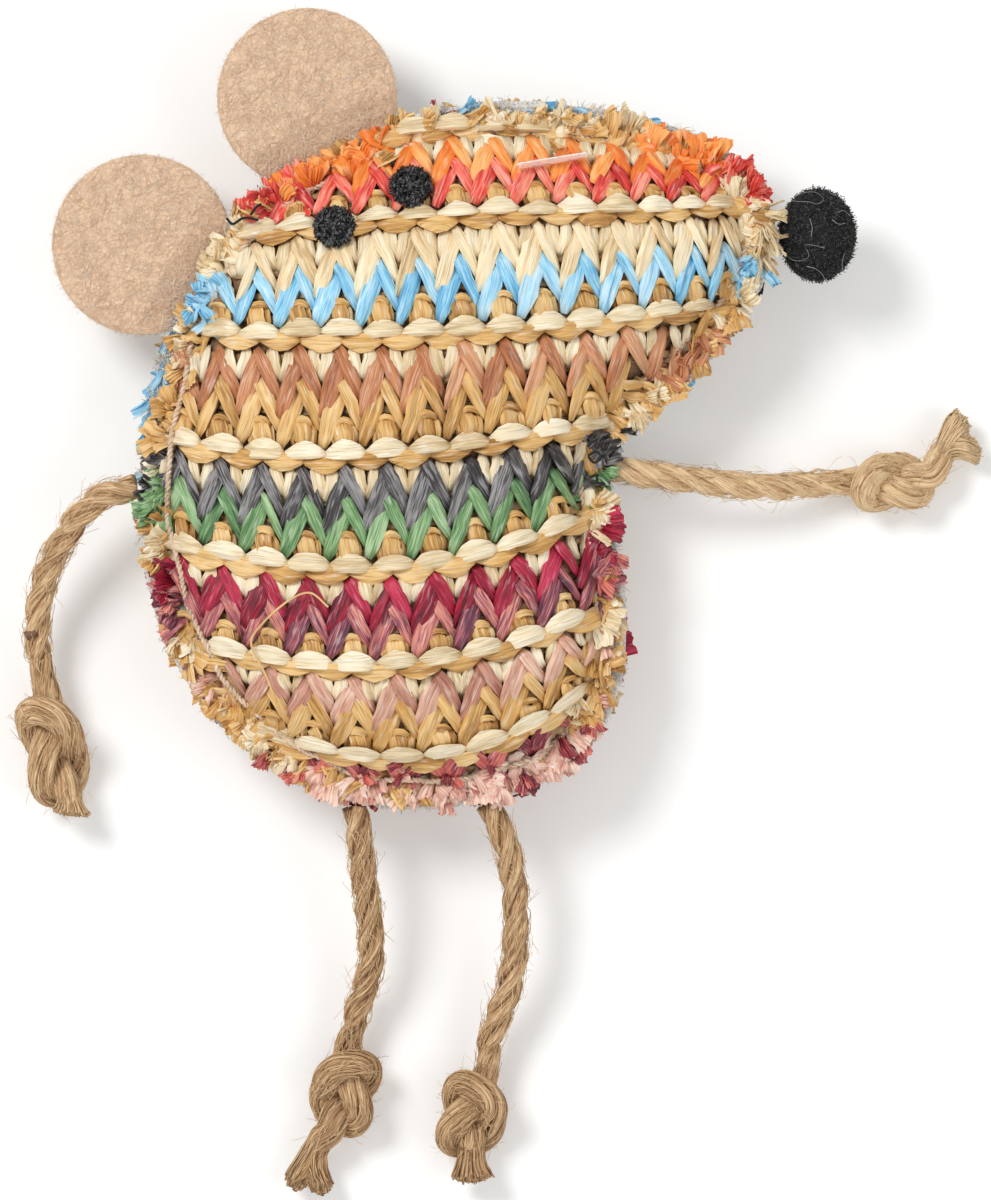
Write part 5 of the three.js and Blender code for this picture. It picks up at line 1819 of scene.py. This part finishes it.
for number, (name, from_fold) in enumerate(EAR_CENTRES.items()):
    rng = draws(51 + number)
    joint = joints[f"{name}_fold"]
    fold, axis = np.array(joint["pos_m"]), np.array(joint["axis"])
    outward = np.array([axis[1], -axis[0], 0])
    centre = fold + outward * from_fold
    bpy.ops.object.select_all(action="DESELECT")
    bpy.ops.mesh.primitive_cylinder_add(vertices=EAR_SIDES, radius=EAR_RADIUS, depth=EAR_THICK,
                                        location=centre)
    ear = bpy.context.active_object
    ear.name = f"{name}_felt"
    bpy.ops.object.transform_apply()
    bpy.ops.object.mode_set(mode="EDIT")
    bpy.ops.mesh.select_all(action="SELECT")
    bpy.ops.mesh.bevel(offset=EAR_BEVEL, segments=3, affect="EDGES")
    bpy.ops.object.mode_set(mode="OBJECT")
    ear.data.remesh_voxel_size = EAR_VOXEL
    bpy.ops.object.voxel_remesh()
    places = places_of(ear)
    beyond = (places - fold) @ outward
    thin = np.clip(1 - (beyond + THIN_FROM) / THIN_REACH, 0, 1)
    places[:, 2] = seam_height + (places[:, 2] - seam_height) * (1 - thin * (1 - EAR_TAB_THICK / EAR_THICK))
    places += rng.normal(0, EAR_UNEVEN, places.shape)
    move_to(ear, places)
    shade_and_fill(ear, felt)
    on_felt = [ear_fibres(centre, FACE_FIBRES, rng, False), ear_fibres(centre, EDGE_FIBRES, rng, True)]
    fuzz = mesh_piece(f"{name}_fuzz", on_felt, fibre["felt_fibre"])
    for piece in (ear, fuzz):
        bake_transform(piece)
        finished(piece, None, "felt", name, f"{name}_tab")

# %% [markdown]
# ## The eyes
# They are worked in black thread straight on the front panel: a heap of short stitches in the middle and
# a ring of stitches that run over the edge, so that the outline is a little ragged.

# %% Thread eyes
EYE_RADIUS = 3.05 * MM
EYE_LIFT = 2.7 * MM
EYE_CROWN = 0.75 * MM
EYE_DEPTH = 1.5 * MM
EYE_THREAD = 0.18 * MM
EYE_LAYERS = [
    dict(share=0.91, count=96, reach=0.26, swing=0.9, rise=0.12),
    dict(share=0.8, count=90, reach=0.34, swing=1.5, rise=0.45),
    dict(share=0.58, count=74, reach=0.42, swing=2, rise=0.7),
    dict(share=0.34, count=44, reach=0.46, swing=2, rise=0.9),
    dict(share=0.12, count=16, reach=0.46, swing=2, rise=1.0),
]
EYE_STITCH = ((-1, -0.25), (-0.4, 0.5), (0.4, 0.5), (1, -0.25))


def centre_and_half(name):
    """The middle and the half size of a node's box."""
    low, high = (np.array(corner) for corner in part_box(name))
    return (low + high) / 2, (high - low) / 2


def eye_pad(centre):
    """A low black mound over the stitches."""
    bpy.ops.object.select_all(action="DESELECT")
    bpy.ops.mesh.primitive_uv_sphere_add(segments=32, ring_count=16, radius=1)
    pad = bpy.context.active_object
    places = places_of(pad)
    flat = centre[:2] + places[:, :2] * EYE_RADIUS
    lift = EYE_LIFT + places[:, 2] * np.where(places[:, 2] > 0, EYE_CROWN, EYE_DEPTH)
    move_to(pad, front.over(*flat.T, lift))
    shade_and_fill(pad, fibre["black_thread"])
    pad.data.update()
    return pad


def eye_threads(centre, rng):
    """Layers of short stitches, from a wide ring at the foot to a few on the crown."""
    rings = []
    for layer in EYE_LAYERS:
        count = layer["count"]
        turn = np.linspace(0, 2 * math.pi, count, endpoint=False) + rng.normal(0, 0.1, count)
        share = layer["share"] + rng.normal(0, 0.04, count)
        middle = centre[:2] + EYE_RADIUS * share[:, None] * on_the_level(turn)
        way = on_the_level(turn + rng.normal(0, layer["swing"], count)) * EYE_RADIUS * layer["reach"] * 0.5
        controls = []
        for step, lift in EYE_STITCH:
            at = middle + way * step * rng.uniform(0.8, 1.15, (count, 1))
            height = EYE_LIFT + layer["rise"] * EYE_CROWN + (lift + rng.normal(0, 0.1, count)) * MM
            controls.append(front.over(*at.T, height))
        rings.append(bent(controls, STRIP_SPANS))
    rings = np.concatenate(rings)
    facing = front.facing(rings[..., 0], rings[..., 1])
    half = np.full(rings.shape[:2], EYE_THREAD)
    return laid(STRIP, rings, facing, half, half, half, rng, twist=0.3)


for number, name in enumerate(("left_eye", "right_eye")):
    centre, _ = centre_and_half(name)
    pad = eye_pad(centre)
    pad.name = f"{name}_pad"
    finished(pad, "torso", "black_thread", name)
    threads = eye_threads(centre, draws(61 + number))
    finished(mesh_piece(f"{name}_threads", [threads], fibre["black_thread"]), "torso", "black_thread", name)

# %% [markdown]
# ## The nose
# A pompom is cut yarn, so it is a dense coat of short fibres over a core, with the odd grey thread of
# lint on it.

# %% Pompom
NOSE_CORE = 0.93
NOSE_UNEVEN = 0.16 * MM
COAT = dict(count=7500, length=0.65 * MM, lean=1.4, half=0.07 * MM, depth=0.9)
SPECKS = dict(count=2600, length=0.55 * MM, lean=2.2, half=0.045 * MM, depth=0.955)

nose_centre, nose_half = centre_and_half("nose_pompom")
rng = draws(71)
bpy.ops.object.select_all(action="DESELECT")
bpy.ops.mesh.primitive_ico_sphere_add(subdivisions=5, radius=1, location=nose_centre,
                                      scale=nose_half * NOSE_CORE)
nose = bpy.context.active_object
nose.name = "nose_pompom_core"
bpy.ops.object.transform_apply()
places = places_of(nose)
ways = (places - nose_centre) / nose_half
move_to(nose, places + ways * rng.normal(0, NOSE_UNEVEN, (len(places), 1)))
if not nose.data.uv_layers:
    nose.data.uv_layers.new(name="UVMap")
shade_and_fill(nose, fibre["black_yarn"])
finished(nose, "torso", "black_yarn", "nose_pompom")


def ball_fibres(count, length, lean, half, depth, rng):
    """Short fibres that stand out of the ball, each a little askew."""
    out = unit(rng.normal(0, 1, (count, 3)))
    base = nose_centre + out * nose_half * depth
    way = unit(out + rng.normal(0, lean, (count, 3)))
    size = rng.uniform(0.5, 1.0, (count, 1)) * length
    controls = [base, base + way * size * 0.4, base + (way + rng.normal(0, 0.3, (count, 3))) * size * 0.8,
                base + (way + rng.normal(0, 0.4, (count, 3))) * size]
    return laid_fibres(bent(controls, FIBRE_SPANS), out + 0.01, half, rng)


coat = mesh_piece("nose_pompom_coat", [ball_fibres(**COAT, rng=rng)], fibre["black_yarn"])
finished(coat, "torso", "black_yarn", "nose_pompom")
specks = mesh_piece("nose_pompom_specks", [ball_fibres(**SPECKS, rng=rng)], fibre["grey_yarn"])
finished(specks, "torso", "black_yarn", "nose_pompom")

# %% [markdown]
# The lint is long loops of one thin grey thread. Each loop is drawn through a few pixels and laid on the
# ball.

# %% Lint on the pompom
LINT = [
    [(782, 266), (795, 275), (810, 280)], [(806, 266), (814, 268), (820, 272), (825, 281)],
    [(842, 254), (840, 263), (842, 271)], [(797, 191), (810, 190), (822, 189)],
    [(789, 199), (797, 204), (809, 205), (816, 207), (822, 203), (816, 196), (807, 195), (793, 197)],
    [(828, 190), (829, 196), (838, 200), (844, 205)], [(804, 246), (810, 246), (819, 248), (823, 249)],
    [(788, 256), (794, 260), (804, 260), (808, 256), (806, 250)], [(809, 221), (811, 230), (810, 238)],
    [(834, 215), (842, 213), (848, 218)], [(830, 222), (836, 226), (843, 225)],
]
LINT_RADIUS = 0.035 * MM
LINT_STEP = 0.25 * MM
LINT_SIDES = 4
LINT_RIM = 0.95
LINT_HEIGHT = 1.05


def on_nose(pixels):
    """Places on the top of the pompom that pixels of the photograph show."""
    across = (on_photograph(pixels) - nose_centre[:2]) / nose_half[:2]
    across *= np.minimum(1, LINT_RIM / np.linalg.norm(across, axis=1, keepdims=True))
    up = np.sqrt(np.clip(1 - (across**2).sum(axis=1), 0, 1))
    return nose_centre + np.column_stack([across, up]) * nose_half * LINT_HEIGHT


threads = [tube(smooth_line(on_nose(line), LINT_STEP), LINT_RADIUS, LINT_SIDES, rng) for line in LINT]
finished(mesh_piece("nose_lint", threads, fibre["lint"]), "torso", "black_yarn")

# %% [markdown]
# ## Thread in the seam
# Beige thread in two plies runs round the body just inside the cut edge. It is pulled down at each needle
# hole, so it rises and falls, and it lies on top of the strips that it holds.

# %% Seam threads
STITCH_LENGTH = 3.6 * MM
PLIES = 2
PLY_RADIUS = 0.27 * MM
PLY_OFFSET = 0.85
PLY_PITCH = 1.7 * MM
PLY_SIDES = 6
SEEN_BELOW = 15 * MM
SEEN_LEFT_OF = -15 * MM
SEEN_FOOT = (-38 * MM, 27 * MM)
SEEN_FADE = 15
CLEAR_OF_START = 6
SEAM_BOW = 1.5 * MM
BOW_CENTRE = (-26 * MM, -30 * MM)
BOW_REACH = (12 * MM, 16 * MM)
THREAD_STEP = 0.35 * MM
THREAD_HAIRS = dict(count=900, length=1.2 * MM, lift=0.25 * MM, width=0.03)


def seam_thread(panel, rng):
    """It lies in sight at the left and the foot of the front, and is buried in the frays elsewhere."""
    marks = np.arange(CLEAR_OF_START, len(rim) - CLEAR_OF_START)
    run = marks * RIM_STEP
    x, y = rim[marks, 0], rim[marks, 1]
    at_foot = y < SEEN_FOOT[0]
    seen = (y < SEEN_BELOW) & ((x < SEEN_LEFT_OF) | at_foot) & (x < SEEN_FOOT[1])
    seen = np.convolve(seen.astype(float), np.ones(SEEN_FADE) / SEEN_FADE, "same")
    east, north = (x - BOW_CENTRE[0]) / BOW_REACH[0], (y - BOW_CENTRE[1]) / BOW_REACH[1]
    inset = SEAM_INSET + SEAM_BOW * np.exp(-(east**2) - north**2)
    inset = inset + 0.35 * MM * np.sin(run / (9 * MM)) + 0.2 * MM * np.sin(run / (2.3 * MM))
    inset = inset + 0.3 * MM * np.sin(run / (5.3 * MM) + 2) * seen
    flat = rim[marks, :2] - rim_out[marks] * inset[:, None]
    dips = 0.5 + 0.5 * np.sin(run / (4.1 * MM)) * np.sin(run / (11 * MM) + 1)
    between_holes = np.abs(np.sin(run * math.pi / STITCH_LENGTH)) ** 0.6
    lift = (0.2 + (0.8 - 0.7 * at_foot + 1.5 * dips) * seen + 0.75 * between_holes) * MM
    line = evenly(panel.over(*flat.T, lift), THREAD_STEP)
    plies = twisted(line, PLIES, PLY_RADIUS, PLY_RADIUS * PLY_OFFSET, PLY_PITCH, PLY_SIDES, rng, 0.05)
    return [*plies, hairs(line, PLY_RADIUS * 1.7, rng=rng, **THREAD_HAIRS)]


for side_name, panel in (("front", front), ("back", back)):
    parts = seam_thread(panel, draws(81))
    piece = mesh_piece(f"{side_name}_seam_stitches", parts, fibre["seam_thread"])
    finished(piece, "torso", "seam_thread", f"{side_name}_seam_thread")

# %% [markdown]
# ## The tag pin
# A clear plastic bar lies on the head. It once held a paper tag, and its stem is hidden in the stitches.

# %% Clear pin
PIN_TURN = math.radians(9.6)
PIN_REACH = 5.3 * MM
PIN_LIFT = 3.3 * MM
PIN_RADIUS = 0.52 * MM
PIN_POINTS = 15
PIN_STEP = 0.5 * MM
PIN_SIDES = 10

pin_middle, _ = centre_and_half("tag_pin")
pin_way = np.array([math.cos(PIN_TURN), math.sin(PIN_TURN)])
pin_flat = pin_middle[:2] + np.linspace(-1, 1, PIN_POINTS)[:, None] * pin_way * PIN_REACH
pin_line = front.over(*pin_flat.T, np.full(PIN_POINTS, PIN_LIFT))
pin = tube(evenly(pin_line, PIN_STEP), PIN_RADIUS, PIN_SIDES, draws(91))
finished(mesh_piece("clear_tag_pin", [pin], clear_plastic), "torso", "clear_plastic", "tag_pin")

# %% [markdown]
# ## Loose bits
# One split fibre of raffia lies over the front, and some black yarn from the sewing of the eyes was left
# in the frays. Each is a thin tube through a few pixels.

# %% Loose fibre and yarn
LOOSE_FIBRE = [(278, 702), (268, 676), (254, 648), (254, 637), (293, 599), (312, 593), (330, 607)]
LOOSE_RADIUS = 0.17 * MM
LOOSE_LIFT = 3.6 * MM
BLACK_BITS = [
    [(227, 219), (233, 225), (244, 219), (259, 221)], [(251, 216), (257, 208), (262, 205)],
    [(588, 456), (596, 452), (601, 458), (594, 463), (588, 457)],
    [(589, 478), (596, 476), (596, 483), (590, 483)],
]
BIT_RADIUS = 0.2 * MM
BIT_LIFT = 3.2 * MM
BIT_SIDES = 6
BIT_STEP = 0.3 * MM
TWIG = [(34, 632), (29, 634), (24, 637)]
TWIG_RADIUS = 0.75 * MM
TWIG_HEIGHT = 8.2 * MM
TWIG_SIDES = 7


def thread_through(pixels, radius, lift, rng):
    flat = on_photograph(pixels)
    line = smooth_line(front.over(*flat.T, np.full(len(flat), lift)), BIT_STEP)
    return tube(line, radius, BIT_SIDES, rng, 0.08)


rng = draws(95)
twig_line = evenly(np.column_stack([on_photograph(TWIG), np.full(len(TWIG), TWIG_HEIGHT)]), LINE_STEP)
twig = mesh_piece("left_arm_twig_bit", [tube(twig_line, TWIG_RADIUS, TWIG_SIDES, rng, 0.15)], fibre["bark"])
finished(twig, "left_arm", "jute")
loose = [thread_through(LOOSE_FIBRE, LOOSE_RADIUS, LOOSE_LIFT, rng)]
finished(mesh_piece("loose_raffia_fibre", loose, raffia["tan"]), "torso", "raffia")
bits = [thread_through(pixels, BIT_RADIUS, BIT_LIFT, rng) for pixels in BLACK_BITS]
finished(mesh_piece("black_yarn_bits", bits, fibre["black_yarn"]), "torso", "black_yarn")

# %% [markdown]
# ## Inside the toy
# The catnip pouch and the stitch that holds the pompom are never seen, but they are real pieces, so they
# keep their solids and get a finish.

# %% Hidden pieces
for name, look in (("catnip_pouch", "white_thread"), ("nose_stitch", "black_thread")):
    node = frame["nodes"][name]
    node.data.materials.clear()
    node.data.materials.append(fibre[look])
    print(name, "is finished in", look)
